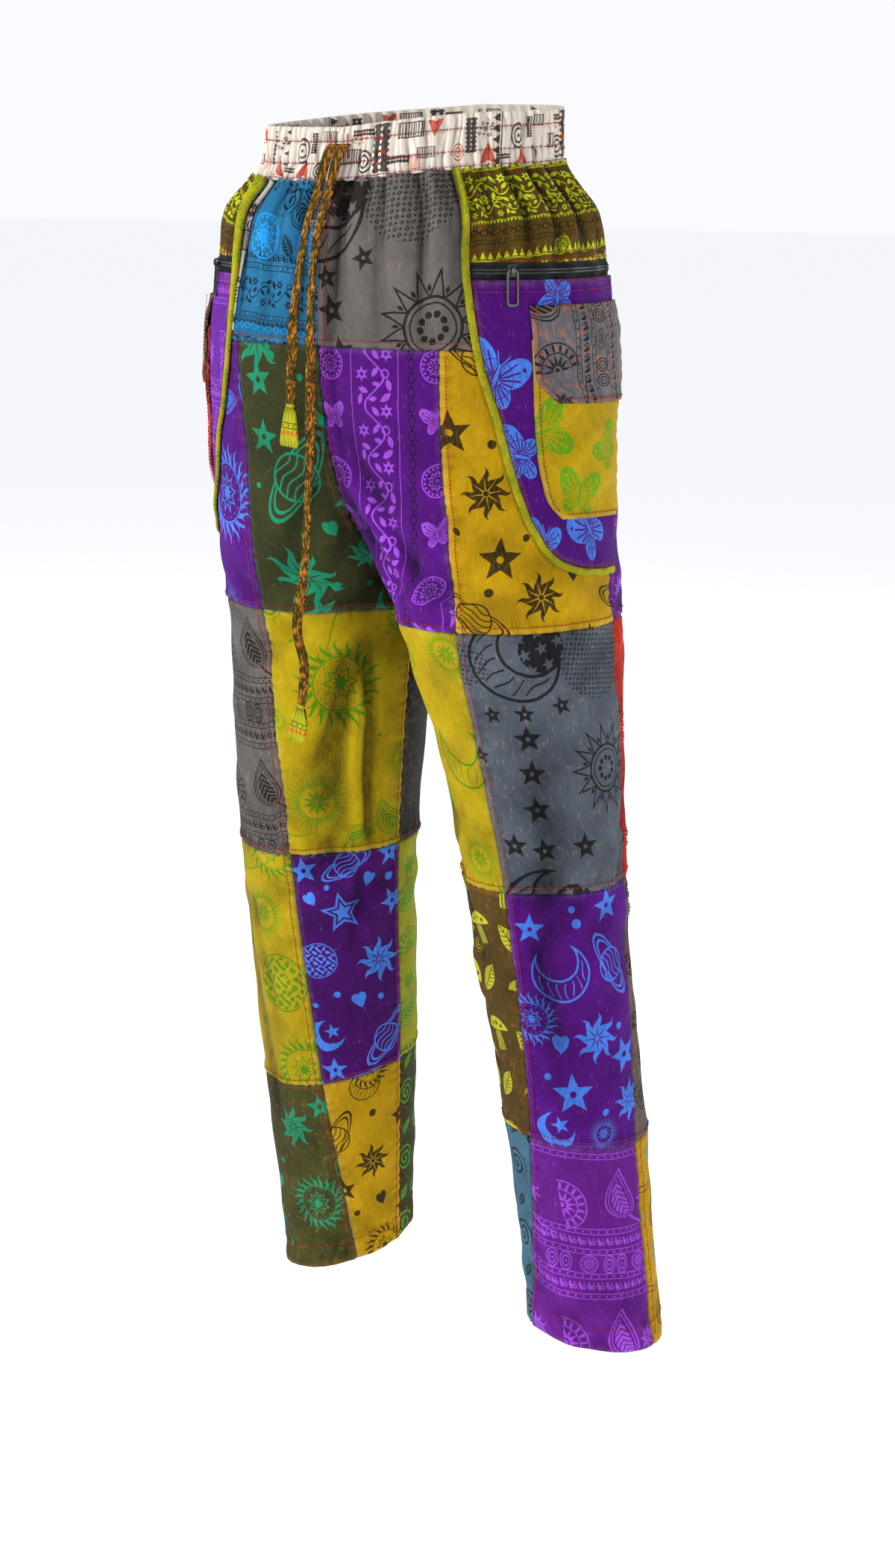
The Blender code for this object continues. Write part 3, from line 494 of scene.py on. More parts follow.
def rim_faces(fine: Array, coarse: Array) -> Array:
    """Triangles between a row of fine vertex numbers and one that has a vertex for each COARSE of them."""
    faces = []
    for j in range(len(coarse) - 1):
        part = fine[j * COARSE : (j + 1) * COARSE + 1]
        faces += [(part[k], part[k + 1], coarse[j]) for k in range(COARSE - 1)]
        faces += [(part[-2], part[-1], coarse[j + 1]), (part[-2], coarse[j + 1], coarse[j])]
    return np.array(faces)


def distances(points: Array, axis: int) -> Array:
    """Length walked along each row (axis 1) or column (axis 0) of a grid of points."""
    steps = np.linalg.norm(np.diff(points, axis=axis), axis=-1)
    return np.insert(np.cumsum(steps, axis=axis), 0, 0.0, axis=axis)


def steps_for(length: float) -> int:
    """Grid steps for a piece this long, in whole coarse steps."""
    return COARSE * max(2, round(length / FINE / COARSE))


@dataclass
class ClothPiece:
    """A panel of cloth that lies on the worn form, as a thin closed shell.

    Attributes:
        half: the half it lies on.
        name: the piece's name, also its node's.
        theta: angles of its grid of points, row by row from the top.
        z: heights of the same points.
        lift: distance of its outer face from the form's.
        thick: thickness of the cloth.
        sewn: whether the seams of the legs show in it.
    """

    half: Half
    name: str
    theta: Array
    z: Array
    lift: Array | float = 0.0
    thick: float = CLOTH
    sewn: bool = True

    def build(self) -> bpy.types.Object:
        """Make the shell, its cloth coordinates from the middle of the piece, its distances to the edge and its painted
        shade.
        """
        outer = self.half.skin(self.theta, self.z, self.lift, self.sewn)
        lift = np.broadcast_to(self.lift, self.theta.shape)[::COARSE, ::COARSE]
        inner = self.half.skin(
            self.theta[::COARSE, ::COARSE], self.z[::COARSE, ::COARSE], lift - self.thick, self.sewn
        )
        rows, cols = self.theta.shape
        low_rows, low_cols = inner.shape[:2]
        across, down = distances(outer, 1), distances(outer, 0)
        self.flat = (float(across[:, -1].max()), float(down[-1].max()))
        u = self.half.sign * (across - across[:, -1:] / 2)
        v = down[-1:].mean() / 2 - down
        uv = np.stack([u, v], -1)
        edge = np.minimum.reduce([across, across[:, -1:] - across, down, down[-1:] - down])
        start = rows * cols
        top, low = np.arange(start).reshape(rows, cols), start + np.arange(low_rows * low_cols).reshape(low_rows, -1)
        faces = grid_faces(rows, cols)
        under = grid_faces(low_rows, low_cols, start)[:, ::-1]
        rims = [
            rim_faces(top[0], low[0])[:, ::-1],
            rim_faces(top[-1], low[-1]),
            rim_faces(top[:, 0], low[:, 0]),
            rim_faces(top[:, -1], low[:, -1])[:, ::-1],
        ]
        points = np.concatenate([outer.reshape(-1, 3), inner.reshape(-1, 3)])
        uvs = np.concatenate([uv.reshape(-1, 2), uv[::COARSE, ::COARSE].reshape(-1, 2)])
        edges = np.concatenate([edge.ravel(), edge[::COARSE, ::COARSE].ravel()])
        areas = np.linalg.norm(np.cross(outer[1:, :-1] - outer[:-1, :-1], outer[:-1, 1:] - outer[:-1, :-1]), axis=-1)
        self.area = float(areas.sum())
        # Painted shade: the relief, with the gathers counted once more, makes hollows darker and crests lighter in the
        # material.
        crest = (self.half.relief(self.theta, self.z, self.sewn) + 1.1 * self.half.gathers(self.theta, self.z)) / MM
        # Painted shadow between the legs: the inner cloth near the crotch is darkened where the legs shade each other.
        inside = smooth(1 - (self.half.reach(self.z) - np.abs(self.theta)) * 0.09 / 0.060)
        crest = crest - 3.2 * bell(self.z + 0.325, 0.080) * inside
        crest = np.concatenate([crest.ravel(), crest[::COARSE, ::COARSE].ravel()])
        return make_mesh(self.name, points, [np.concatenate([faces, under]), np.concatenate(rims)], uvs, edges, crest)


# ---------------------------------------------------------------- prints


class Value:
    """A number that varies over the cloth, held as a socket of a shader tree."""

    def __init__(self, tree: bpy.types.NodeTree, socket: bpy.types.NodeSocket) -> None:
        """Hold this socket of this tree."""
        self.tree, self.socket = tree, socket

    @staticmethod
    def join(tree: bpy.types.NodeTree, operation: str, *values: Value | float) -> Value:
        """One maths node over these values."""
        node = tree.nodes.new("ShaderNodeMath")
        node.operation = operation
        for slot, value in zip(node.inputs, values):
            if isinstance(value, Value):
                tree.links.new(value.socket, slot)
            else:
                slot.default_value = value
        return Value(tree, node.outputs[0])

    def math(self, operation: str, *others: Value | float) -> Value:
        """One maths node with this value first."""
        return Value.join(self.tree, operation, self, *others)

    def __add__(self, other: Value | float) -> Value:
        """Sum."""
        return self.math("ADD", other)

    __radd__ = __add__

    def __sub__(self, other: Value | float) -> Value:
        """Difference."""
        return self.math("SUBTRACT", other)

    def __rsub__(self, other: float) -> Value:
        """Difference from a number."""
        return Value.join(self.tree, "SUBTRACT", other, self)

    def __mul__(self, other: Value | float) -> Value:
        """Product."""
        return self.math("MULTIPLY", other)

    __rmul__ = __mul__

    def __neg__(self) -> Value:
        """Opposite."""
        return self.math("MULTIPLY", -1.0)

    def __abs__(self) -> Value:
        """Size without its sign."""
        return self.math("ABSOLUTE")

    def both(self, other: Value | float) -> Value:
        """Inside both shapes."""
        return self.math("MINIMUM", other)

    def either(self, other: Value | float) -> Value:
        """Inside either shape."""
        return self.math("MAXIMUM", other)

    def without(self, other: Value) -> Value:
        """Inside this shape and outside the other."""
        return self.both(-other)

    def repeated(self, period: float) -> Value:
        """Distance to the nearest multiple of the period."""
        return self.math("PINGPONG", period / 2)


class Spot:
    """A motif's own place on the cloth: millimetres from its middle."""

    def __init__(self, tree: bpy.types.NodeTree, vector: bpy.types.NodeSocket) -> None:
        """Hold the vector socket that says where a point lies from the middle."""
        self.tree, self.vector = tree, vector

    def vector_maths(self, operation: str, *values: tuple[float, float, float]) -> Spot:
        """One vector maths node with this place first."""
        node = self.tree.nodes.new("ShaderNodeVectorMath")
        node.operation = operation
        self.tree.links.new(self.vector, node.inputs[0])
        for slot, value in zip(node.inputs[1:], values):
            slot.default_value = value
        return Spot(self.tree, node.outputs[0])

    def shifted(self, x: float, y: float) -> Spot:
        """The place seen from a middle that lies at x, y."""
        return self.vector_maths("SUBTRACT", (x, y, 0))

    def scaled(self, x: float, y: float) -> Spot:
        """The place with its two directions multiplied."""
        return self.vector_maths("MULTIPLY", (x, y, 1))

    def tiled(self, width: float, height: float) -> Spot:
        """The place in a cell that repeats."""
        return self.vector_maths("WRAP", (width / 2, height / 2, 1), (-width / 2, -height / 2, -1))

    def turned(self, degrees: float) -> Spot:
        """The place seen in axes turned anticlockwise."""
        if not degrees:
            return self
        node = self.tree.nodes.new("ShaderNodeVectorRotate")
        node.rotation_type = "Z_AXIS"
        node.inputs["Angle"].default_value = -math.radians(degrees)
        self.tree.links.new(self.vector, node.inputs["Vector"])
        return Spot(self.tree, node.outputs[0])

    @cached_property
    def axes(self) -> tuple[Value, Value]:
        """Across and up."""
        node = self.tree.nodes.new("ShaderNodeSeparateXYZ")
        self.tree.links.new(self.vector, node.inputs[0])
        return Value(self.tree, node.outputs[0]), Value(self.tree, node.outputs[1])

    @property
    def x(self) -> Value:
        """Across."""
        return self.axes[0]

    @property
    def y(self) -> Value:
        """Up."""
        return self.axes[1]

    @cached_property
    def away(self) -> Value:
        """Distance from the middle."""
        return (self.x * self.x + self.y * self.y).math("SQRT")

    @cached_property
    def angle(self) -> Value:
        """Angle clockwise from straight up."""
        return self.x.math("ARCTAN2", self.y)

    def mirrored(self) -> Spot:
        """The place with both sides folded onto the right one."""
        node = self.tree.nodes.new("ShaderNodeCombineXYZ")
        self.tree.links.new(abs(self.x).socket, node.inputs[0])
        self.tree.links.new(self.y.socket, node.inputs[1])
        return Spot(self.tree, node.outputs[0])


def disc(p: Spot, radius: float) -> Value:
    """A filled circle."""
    return radius - p.away


def ring(p: Spot, radius: float, width: float) -> Value:
    """A circle's line."""
    return width / 2 - abs(p.away - radius)


def points(p: Spot, count: int, tip: float, waist: float, sway: float = 0.0) -> Value:
    """A star.

    Args:
        p: its place.
        count: how many points it has.
        tip: distance of a tip from the middle.
        waist: distance of the corner between two tips.
        sway: how far its points bend to and fro, in radians.
    """
    step = math.pi / count
    angle = p.angle + (p.away * (6.0 / tip)).math("SINE") * sway if sway else p.angle
    fold = angle.math("PINGPONG", step)
    nx, ny = waist * math.sin(step), tip - waist * math.cos(step)
    size = math.hypot(nx, ny)
    return (tip - p.away * fold.math("COSINE")) * (nx / size) - p.away * fold.math("SINE") * (ny / size)


def beads(p: Spot, count: int, radius: float, size: float) -> Value:
    """Dots round a circle."""
    fold = p.angle.math("PINGPONG", math.pi / count) * radius
    out = p.away - radius
    return size - (fold * fold + out * out).math("SQRT")


def petal(p: Spot, length: float, width: float) -> Value:
    """A leaf with two points."""
    share = p.y * (2 / length)
    return (1.0 - share * share) * (width / 2) - abs(p.x)


def slab_shape(p: Spot, width: float, height: float) -> Value:
    """A filled rectangle."""
    return (width / 2 - abs(p.x)).both(height / 2 - abs(p.y))


def rays(p: Spot, count: int, inner: float, outer: float, width: float, sway: float = 0.0, turn: float = 0.0) -> Value:
    """Tapering strokes round a circle.

    Args:
        p: its middle.
        count: how many strokes.
        inner: where they start.
        outer: where they end in a point.
        width: half their width at the start.
        sway: how far they bend to and fro, in radians.
        turn: turn of them all, in radians.
    """
    angle = p.angle + (p.away * (9.0 / outer)).math("SINE") * sway if sway else p.angle
    fold = (angle + turn).math("PINGPONG", math.pi / count) * p.away
    return ((outer - p.away) * (width / (outer - inner)) - fold).both(p.away - inner)


def outline(shape: Value, width: float) -> Value:
    """The line along a shape's edge."""
    return shape.both(width - shape)


def star_motif(p: Spot, s: float) -> Value:
    """A five-pointed star with an open middle."""
    return points(p, 5, s, 0.43 * s).without(disc(p, 0.16 * s))


def drawn_star_motif(p: Spot, s: float) -> Value:
    """A star in a drawn line, with a small solid one inside."""
    return outline(points(p, 5, s, 0.44 * s), 0.10 * s).either(points(p, 5, 0.52 * s, 0.22 * s))


def flame_motif(p: Spot, s: float) -> Value:
    """A flower of eight swaying petals with bare veins."""
    veins = rays(p, 8, 0.14 * s, 0.66 * s, 0.03 * s).either(ring(p, 0.12 * s, 0.03 * s))
    return points(p, 8, s, 0.45 * s, 0.20).without(veins)


def planet_motif(p: Spot, s: float) -> Value:
    """A banded planet in a long ring, drawn in lines. s is half the ring's length."""
    body = disc(p, 0.42 * s)
    flat = p.scaled(1.0, 3.2)
    orbit = ring(flat, 0.95 * s, 0.10 * s).either(ring(flat, 0.76 * s, 0.08 * s))
    bands = (p.y + (p.x * (9 / s)).math("SINE") * (0.05 * s)).repeated(0.15 * s)
    stripes = (0.017 * s - bands).both(body)
    return ring(p, 0.42 * s, 0.04 * s).either(stripes).either(orbit.both((-body).either(-p.y)))


def moon_motif(p: Spot, s: float) -> Value:
    """A crescent in a drawn line with waves in it, open towards its upper right."""
    crescent = disc(p, s).without(disc(p.shifted(0.36 * s, 0.26 * s), 0.68 * s))
    waves = (p.x * 0.7 - p.y + (p.x * (8 / s)).math("SINE") * (0.06 * s)).repeated(0.30 * s)
    return outline(crescent, 0.07 * s).either((0.022 * s - waves).both(crescent - 0.14 * s))


def new_moon_motif(p: Spot, s: float) -> Value:
    """A slim solid crescent with a star in its arms."""
    crescent = disc(p, s).without(disc(p.shifted(0.34 * s, 0.20 * s), 0.80 * s))
    return crescent.either(points(p.shifted(0.34 * s, 0.20 * s), 5, 0.5 * s, 0.2 * s))


def heart_motif(p: Spot, s: float) -> Value:
    """A small heart."""
    drop = p.y - abs(p.x).math("SQRT") * (0.75 * math.sqrt(s))
    return 0.95 * s - (p.x * p.x + drop * drop).math("SQRT")


def dot_motif(p: Spot, s: float) -> Value:
    """A dot."""
    return disc(p, s)


def sun_motif(p: Spot, s: float) -> Value:
    """A sun with long swaying rays round a plain disc that holds a flower."""
    long = rays(p, 20, 0.60 * s, s, 0.062 * s, 0.11)
    short = rays(p, 20, 0.60 * s, 0.84 * s, 0.035 * s, 0.11, math.pi / 20)
    middle = ring(p, 0.57 * s, 0.03 * s).either(beads(p, 18, 0.48 * s, 0.018 * s))
    flower = outline(points(p, 9, 0.40 * s, 0.24 * s), 0.03 * s).either(points(p, 9, 0.22 * s, 0.10 * s))
    return long.either(short).either(middle).either(flower)


def burst_motif(p: Spot, s: float) -> Value:
    """Fine rays round a star of ten points."""
    fine = rays(p, 34, 0.50 * s, s, 0.020 * s).either(rays(p, 34, 0.46 * s, 0.76 * s, 0.016 * s, 0.0, math.pi / 34))
    star = points(p, 10, 0.42 * s, 0.17 * s)
    return fine.either(outline(star, 0.035 * s)).either(rays(p, 10, 0.05 * s, 0.24 * s, 0.02 * s))


def spiky_motif(p: Spot, s: float) -> Value:
    """A disc in long bare spikes, with black points between them."""
    spikes = points(p, 13, s, 0.54 * s)
    black = points(p.turned(180 / 13), 13, 0.74 * s, 0.50 * s).without(spikes + 0.02 * s)
    middle = ring(p, 0.50 * s, 0.05 * s).either(ring(p, 0.40 * s, 0.03 * s)).either(beads(p, 9, 0.22 * s, 0.06 * s))
    return outline(spikes, 0.035 * s).either(black).without(disc(p, 0.50 * s)).either(middle)


def sky_motif(p: Spot, s: float) -> Value:
    """A dark disc with stars left open in it."""
    cell = p.turned(20).tiled(0.78 * s, 0.70 * s)
    return disc(p, s).without(points(cell, 5, 0.30 * s, 0.13 * s))


def squares_motif(p: Spot, s: float) -> Value:
    """A field of small squares, every other one open."""
    cell = p.turned(32).tiled(6.4, 5.2)
    other = p.turned(32).shifted(3.2, 2.6).tiled(6.4, 5.2)
    small = slab_shape(cell, 2.7, 2.3).without(slab_shape(cell, 1.1, 1.0)).either(slab_shape(other, 1.7, 1.5))
    return small.both(disc(p.scaled(1.0, 1.15), s))


def globe_motif(p: Spot, s: float) -> Value:
    """A disc mottled like a worn coin."""
    lumps = (p.x * (19 / s) + (p.y * (11 / s)).math("SINE") * 2.4).math("SINE")
    lumps = lumps + (p.y * (21 / s) + (p.x * (9 / s)).math("SINE") * 2.6).math("SINE") - 0.15
    return ring(p, 0.97 * s, 0.05 * s).either((lumps * (0.06 * s)).both(disc(p, 0.90 * s)))


def rosette_motif(p: Spot, s: float) -> Value:
    """A round medallion of rings, beads and petals."""
    edge = ring(p, 0.96 * s, 0.08 * s).either(beads(p, 18, 0.80 * s, 0.07 * s))
    petals = outline(points(p, 10, 0.66 * s, 0.46 * s), 0.08 * s)
    return edge.either(petals).either(ring(p, 0.28 * s, 0.09 * s)).either(disc(p, 0.10 * s))


def half_rosette_motif(p: Spot, s: float) -> Value:
    """The upper half of a medallion of bars and rings."""
    bars = (0.055 * s - p.angle.math("PINGPONG", math.pi / 17) * p.away).both(p.away - 0.68 * s).both(0.93 * s - p.away)
    inner = rays(p, 12, 0.26 * s, 0.62 * s, 0.07 * s).either(ring(p, 0.22 * s, 0.07 * s)).either(disc(p, 0.1 * s))
    whole = ring(p, s, 0.06 * s).either(bars).either(ring(p, 0.64 * s, 0.05 * s)).either(inner)
    return whole.both(p.y + 0.04 * s)


def arch_motif(p: Spot, s: float) -> Value:
    """Two nested arches round a bar."""
    q = p.scaled(1.6, 1.0)
    return ring(q, s, 0.20 * s).either(ring(q, 0.58 * s, 0.20 * s)).either(disc(q, 0.16 * s))


def bead_line_motif(p: Spot, s: float) -> Value:
    """Two lines with dots between them. s is their distance."""
    return disc(p.tiled(1.5 * s, 80 * s), 0.20 * s).either(0.09 * s - abs(abs(p.y) - 0.5 * s))


def drops_motif(p: Spot, s: float) -> Value:
    """A row of leaning drops, buds and dots. s is its height."""
    cell = p.tiled(0.9 * s, 80 * s)
    drop = petal(cell.shifted(-0.15 * s, 0).turned(14), 0.9 * s, 0.30 * s)
    bud = ring(cell.shifted(0.24 * s, -0.10 * s), 0.17 * s, 0.12 * s)
    return drop.either(bud).either(disc(cell.shifted(0.22 * s, 0.30 * s), 0.08 * s))


def teeth_motif(p: Spot, s: float) -> Value:
    """A band of triangles along a line. s is its height."""
    height = s * 0.5 - p.x.repeated(0.9 * s) * 2.2
    return (height - p.y).both(p.y + 0.3 * s).either(0.05 * s - abs(p.y + 0.45 * s))


def vine_motif(p: Spot, s: float) -> Value:
    """A winding stem with leaves, tendrils and flowers. s is the length of one winding."""
    cell = p.tiled(80 * s, s)
    total = 0.020 * s - abs(cell.x - (cell.y * (2 * math.pi / s)).math("SINE") * (0.19 * s))
    leaves = ((0.24, -0.10, 0.26, -55), (0.03, -0.35, 0.22, 40), (-0.22, 0.02, 0.22, 70), (0.02, 0.34, 0.22, -40),
              (0.30, 0.12, 0.24, 15), (-0.29, -0.14, 0.22, -15), (-0.02, -0.13, 0.18, 100), (0.05, 0.13, 0.18, 80))
    for x, y, size, turn in leaves:
        total = total.either(petal(cell.shifted(x * s, y * s).turned(turn), size * s, 0.46 * size * s))
    for x, y in ((-0.25, 0.30), (0.25, -0.34)):
        bloom = cell.shifted(x * s, y * s)
        total = total.either(points(bloom, 6, 0.14 * s, 0.07 * s).without(disc(bloom, 0.035 * s)))
    return total.either(ring(cell.shifted(0.22 * s, 0.32 * s), 0.07 * s, 0.03 * s))


def loops_motif(p: Spot, s: float) -> Value:
    """A chain of upright loops. s is the length of one."""
    cell = p.tiled(80 * s, s)
    return ring(cell.scaled(1.5, 1.0).turned(12), 0.36 * s, 0.11 * s).either(disc(cell.shifted(0, 0.42 * s), 0.09 * s))


def lines_motif(p: Spot, s: float) -> Value:
    """Two upright lines. s is the distance between them."""
    return 0.35 - abs(abs(p.x) - 0.5 * s)


def butterfly_motif(p: Spot, s: float) -> Value:
    """A butterfly with open wings, their veins and spots left bare."""
    q = p.mirrored()
    upper = disc(q.shifted(0.50 * s, 0.36 * s).turned(-38).scaled(1.25, 0.78), 0.46 * s)
    lower = disc(q.shifted(0.34 * s, -0.34 * s).turned(32).scaled(1.3, 0.95), 0.36 * s)
    wings = upper.either(lower)
    fold = q.shifted(0, -0.05 * s).angle.math("PINGPONG", 0.15) * q.away
    wings = wings.without((0.024 * s - fold).both(0.80 * s - q.away).both(wings - 0.06 * s))
    wings = wings.without(disc(q.shifted(0.74 * s, 0.58 * s), 0.06 * s))
    wings = wings.without(0.012 * s - abs(q.away - 0.55 * s))
    feelers = (0.02 * s - abs(q.x - (q.y - 0.3 * s) * 0.45)).both(q.y - 0.3 * s).both(0.75 * s - q.y)
    return wings.without(petal(p, 1.0 * s, 0.22 * s)).either(petal(p, 0.9 * s, 0.12 * s)).either(feelers)


def mushroom_motif(p: Spot, s: float) -> Value:
    """A spotted mushroom."""
    cap = (s - p.scaled(1.0, 1.35).away).both(p.y)
    spots = disc(p.shifted(0, 0.4 * s), 0.13 * s).either(disc(p.mirrored().shifted(0.5 * s, 0.25 * s), 0.11 * s))
    stem = (0.24 * s + p.y * -0.08 - abs(p.x)).both(-p.y - 0.05 * s).both(p.y + 1.1 * s)
    veins = 0.03 * s - p.x.repeated(0.16 * s)
    return cap.without(spots).either(stem.without(veins))


def leaf_motif(p: Spot, s: float) -> Value:
    """A veined leaf."""
    blade = petal(p, 2 * s, 0.9 * s)
    veins = 0.03 * s - (p.y - abs(p.x) * 0.8).repeated(0.28 * s)
    return blade.without(veins.either(0.03 * s - abs(p.x)).both(blade - 0.06 * s))


def swirl_motif(p: Spot, s: float) -> Value:
    """A spiral line in dots."""
    pitch = 0.42 * s
    turn = (p.away - p.angle * (pitch / (2 * math.pi))).repeated(pitch)
    return (0.08 * s - turn).both(disc(p, s)).either(beads(p, 9, 1.15 * s, 0.06 * s))


def paisley_motif(p: Spot, s: float) -> Value:
    """A bent drop with a drawn border, a row of beads and leaves inside."""
    bent = p.x - p.y * p.y * (0.34 / s)
    share = (p.y * (0.5 / s) + 0.42).math("MAXIMUM", 0.001)
    shape = share.math("SQRT") * (1.0 - share) * (1.7 * s) - abs(bent)
    inner = (shape - 0.30 * s).without((0.035 * s - (p.y + abs(bent) * 0.9).repeated(0.22 * s)))
    return outline(shape, 0.07 * s).either(outline(shape - 0.15 * s, 0.05 * s)).either(inner)


def bar_motif(p: Spot, s: float) -> Value:
    """An upright bar with spots left open in it."""
    spots = disc(p.tiled(0.44 * s, 0.34 * s).scaled(1.0, 0.8), 0.09 * s)
    return slab_shape(p, 0.88 * s, 2.6 * s).without(spots)


def hatched_motif(p: Spot, s: float) -> Value:
    """A block of upright hatching in a frame."""
    block = slab_shape(p, 1.9 * s, 1.2 * s)
    return block.both((0.045 * s - p.x.repeated(0.2 * s)).either(0.09 * s - block))


def wedge_motif(p: Spot, s: float) -> Value:
    """A pointed solid shape with a bite out of it."""
    wedge = (p.y * -0.45 + 0.55 * s - abs(p.x)).both(p.y + s)
    return wedge.without(disc(p.shifted(0, -1.05 * s), 0.3 * s))


class Motif(Enum):
    """Motifs of the prints, each with the function that draws it."""

    STAR = (star_motif,)
    DRAWN_STAR = (drawn_star_motif,)
    FLAME = (flame_motif,)
    PLANET = (planet_motif,)
    MOON = (moon_motif,)
    NEW_MOON = (new_moon_motif,)
    HEART = (heart_motif,)
    DOT = (dot_motif,)
    SUN = (sun_motif,)
    BURST = (burst_motif,)
    SPIKY = (spiky_motif,)
    SKY = (sky_motif,)
    SQUARES = (squares_motif,)
    GLOBE = (globe_motif,)
    ROSETTE = (rosette_motif,)
    HALF_ROSETTE = (half_rosette_motif,)
    ARCH = (arch_motif,)
    BEAD_LINE = (bead_line_motif,)
    DROPS = (drops_motif,)
    TEETH = (teeth_motif,)
    VINE = (vine_motif,)
    LOOPS = (loops_motif,)
    LINES = (lines_motif,)
    BUTTERFLY = (butterfly_motif,)
    MUSHROOM = (mushroom_motif,)
    LEAF = (leaf_motif,)
    SWIRL = (swirl_motif,)
    PAISLEY = (paisley_motif,)
    BAR = (bar_motif,)
    HATCHED = (hatched_motif,)
    WEDGE = (wedge_motif,)

    @property
    def draw(self) -> Callable[[Spot, float], Value]:
        """The function that draws it."""
        return self.value[0]


Layout = dict[Motif, tuple[tuple[float, ...], ...]]


@dataclass(frozen=True)
class Print:
    """A repeat of printed cloth.

    Attributes:
        name: what the print shows.
        repeat: width and height of the repeat in millimetres.
        first: where each motif of the first ink stands. Columns: x, y, size in millimetres, and any turn in degrees.
        second: the motifs of the second ink, with the same columns.
    """

    name: str
    repeat: tuple[float, float]
    first: Layout
    second: Layout = field(default_factory=dict)

    def ink(self, cloth: Spot, layout: Layout) -> Value | None:
        """Depth inside the nearest motif.

        Args:
            cloth: place on the cloth.
            layout: the motifs of one ink.

        Returns:
            The depth in millimetres, or nothing where the ink has no motifs.
        """
        total = None
        for motif, places in layout.items():
            for x, y, size, *turn in places:
                drawn = motif.draw(cloth.shifted(x, y).tiled(*self.repeat).turned(sum(turn)), size)
                total = drawn if total is None else total.either(drawn)
        return total

    def group(self) -> bpy.types.NodeTree:
        """The print as a node group, made once: cloth place in, share of each ink out."""
        made = bpy.data.node_groups.get(self.name)
        if made:
            return made
        made = bpy.data.node_groups.new(self.name, "ShaderNodeTree")
        made.interface.new_socket("Cloth", in_out="INPUT", socket_type="NodeSocketVector")
        for name in ("First", "Second"):
            made.interface.new_socket(name, in_out="OUTPUT", socket_type="NodeSocketFloat")
        start, end = made.nodes.new("NodeGroupInput"), made.nodes.new("NodeGroupOutput")
        cloth = Spot(made, start.outputs[0])
        for slot, layout in enumerate((self.first, self.second)):
            depth = self.ink(cloth, layout)
            if depth is None:
                end.inputs[slot].default_value = 0.0
                continue
            share = depth.math("MULTIPLY_ADD", 3.0, 0.5).math("MAXIMUM", 0.0).math("MINIMUM", 1.0)
            made.links.new(share.socket, end.inputs[slot])
        return made


M = Motif
SKY_BIG = Print("sky_big", (142, 202), {
    M.STAR: ((-20, 92, 16, 6), (-19, 46, 15, -8), (48, -12, 13, 20), (62, 36, 11)), M.PLANET: ((8, 14, 48, 52),),
    M.HEART: ((28, -33, 7, 10), (-52, 24, 6, -20)), M.FLAME: ((-20, -76, 31, 8), (46, -66, 19), (-62, 70, 18)),
    M.DOT: ((-2, 112, 3.5), (-30, 6, 2.5), (2, -36, 3), (26, 96, 3)), M.NEW_MOON: ((46, 70, 16, 30),),
})
SKY_WIDE = Print("sky_wide", (150, 204), {
    M.STAR: ((-83, 48, 18, 6), (-42, -50, 18), (6, -8, 15, 30), (42, 84, 15, 12)),
    M.FLAME: ((-54, 2, 21, 10), (-8, -81, 21, 14), (34, 30, 19)), M.PLANET: ((-62, -98, 32, -28),),
    M.DOT: ((-50, 40, 3.5), (-77, -30, 3), (-22, -33, 3), (-50, -76, 3.8), (4, 24, 3)), M.HEART: ((24, -66, 6),),
    M.NEW_MOON: ((-10, 56, 20, 20),), M.SUN: ((44, -28, 24),),
})
SKY_DENSE = Print("sky_dense", (108, 216), {
    M.DRAWN_STAR: ((-10, 53, 20, 8),), M.FLAME: ((22, 2, 23, 8),), M.GLOBE: ((-34, 8, 17),),
    M.HEART: ((0, -36, 7, 15), (-36, 66, 6, 30), (16, 80, 6, -25)), M.NEW_MOON: ((-32, -66, 15, 10),),
    M.PLANET: ((24, -76, 32, 48), (-4, 98, 26, 30)),
    M.STAR: ((-42, 94, 13, 10), (38, 104, 14), (40, 56, 14, 20), (-28, -100, 12)),
    M.DOT: ((38, 80, 4), (-22, 78, 2.5), (-20, -26, 3), (-40, -36, 2.5), (20, -34, 3)),
})
SKY_LONG = Print("sky_long", (132, 218), {
    M.STAR: ((-45, 80, 13), (26, 95, 15, 8), (40, -34, 16, 14), (-13, -60, 18, 4)),
    M.DOT: ((-6, 84, 4), (-10, 96, 3), (-34, -46, 3), (34, -8, 3), (16, -78, 3)), M.MOON: ((-20, 43, 25, 70),),
    M.PLANET: ((30, 45, 33, -58),), M.FLAME: ((10, -14, 22), (44, -74, 19)), M.HEART: ((-22, -20, 7.5),),
    M.NEW_MOON: ((-28, -92, 16, 20),), M.SUN: ((-46, 2, 24),), M.BURST: ((14, -96, 15),),
})
SKY_SMALL = Print("sky_small", (88, 184), {
    M.FLAME: ((-1, 2, 18, 10),), M.PLANET: ((-33, 33, 30, 62),), M.HEART: ((6, -42, 6, 10),),
    M.DOT: ((3, 50, 3.5), (-20, -45, 3)), M.MOON: ((-2, 80, 15, 30),), M.SUN: ((4, -88, 24),),
    M.STAR: ((-30, -20, 12, 10), (34, 34, 12)), M.DRAWN_STAR: ((32, -64, 13),),
})
SKY_HEM = Print("sky_hem", (140, 176), {
    M.FLAME: ((34, 50, 22), (-30, -52, 20)), M.SUN: ((46, -26, 30),), M.STAR: ((66, 70, 13), (-22, 32, 15, 12)),
    M.MOON: ((-54, 4, 17),), M.DOT: ((8, 12, 3), (4, -70, 3)), M.HEART: ((-4, -14, 6),),
})
SUNS = Print("suns", (150, 214), {
    M.SUN: ((-6, 45, 43),), M.BURST: ((-30, -61, 31), (60, -28, 22), (-64, 14, 14)),
    M.PAISLEY: ((40, -82, 19, 40), (8, -92, 15, -70)), M.GLOBE: ((52, 104, 15),),
    M.DOT: ((-48, 84, 1.6), (40, 88, 1.6), (-50, 0, 1.6), (36, -2, 1.6)), M.SWIRL: ((-66, -100, 12),),
})
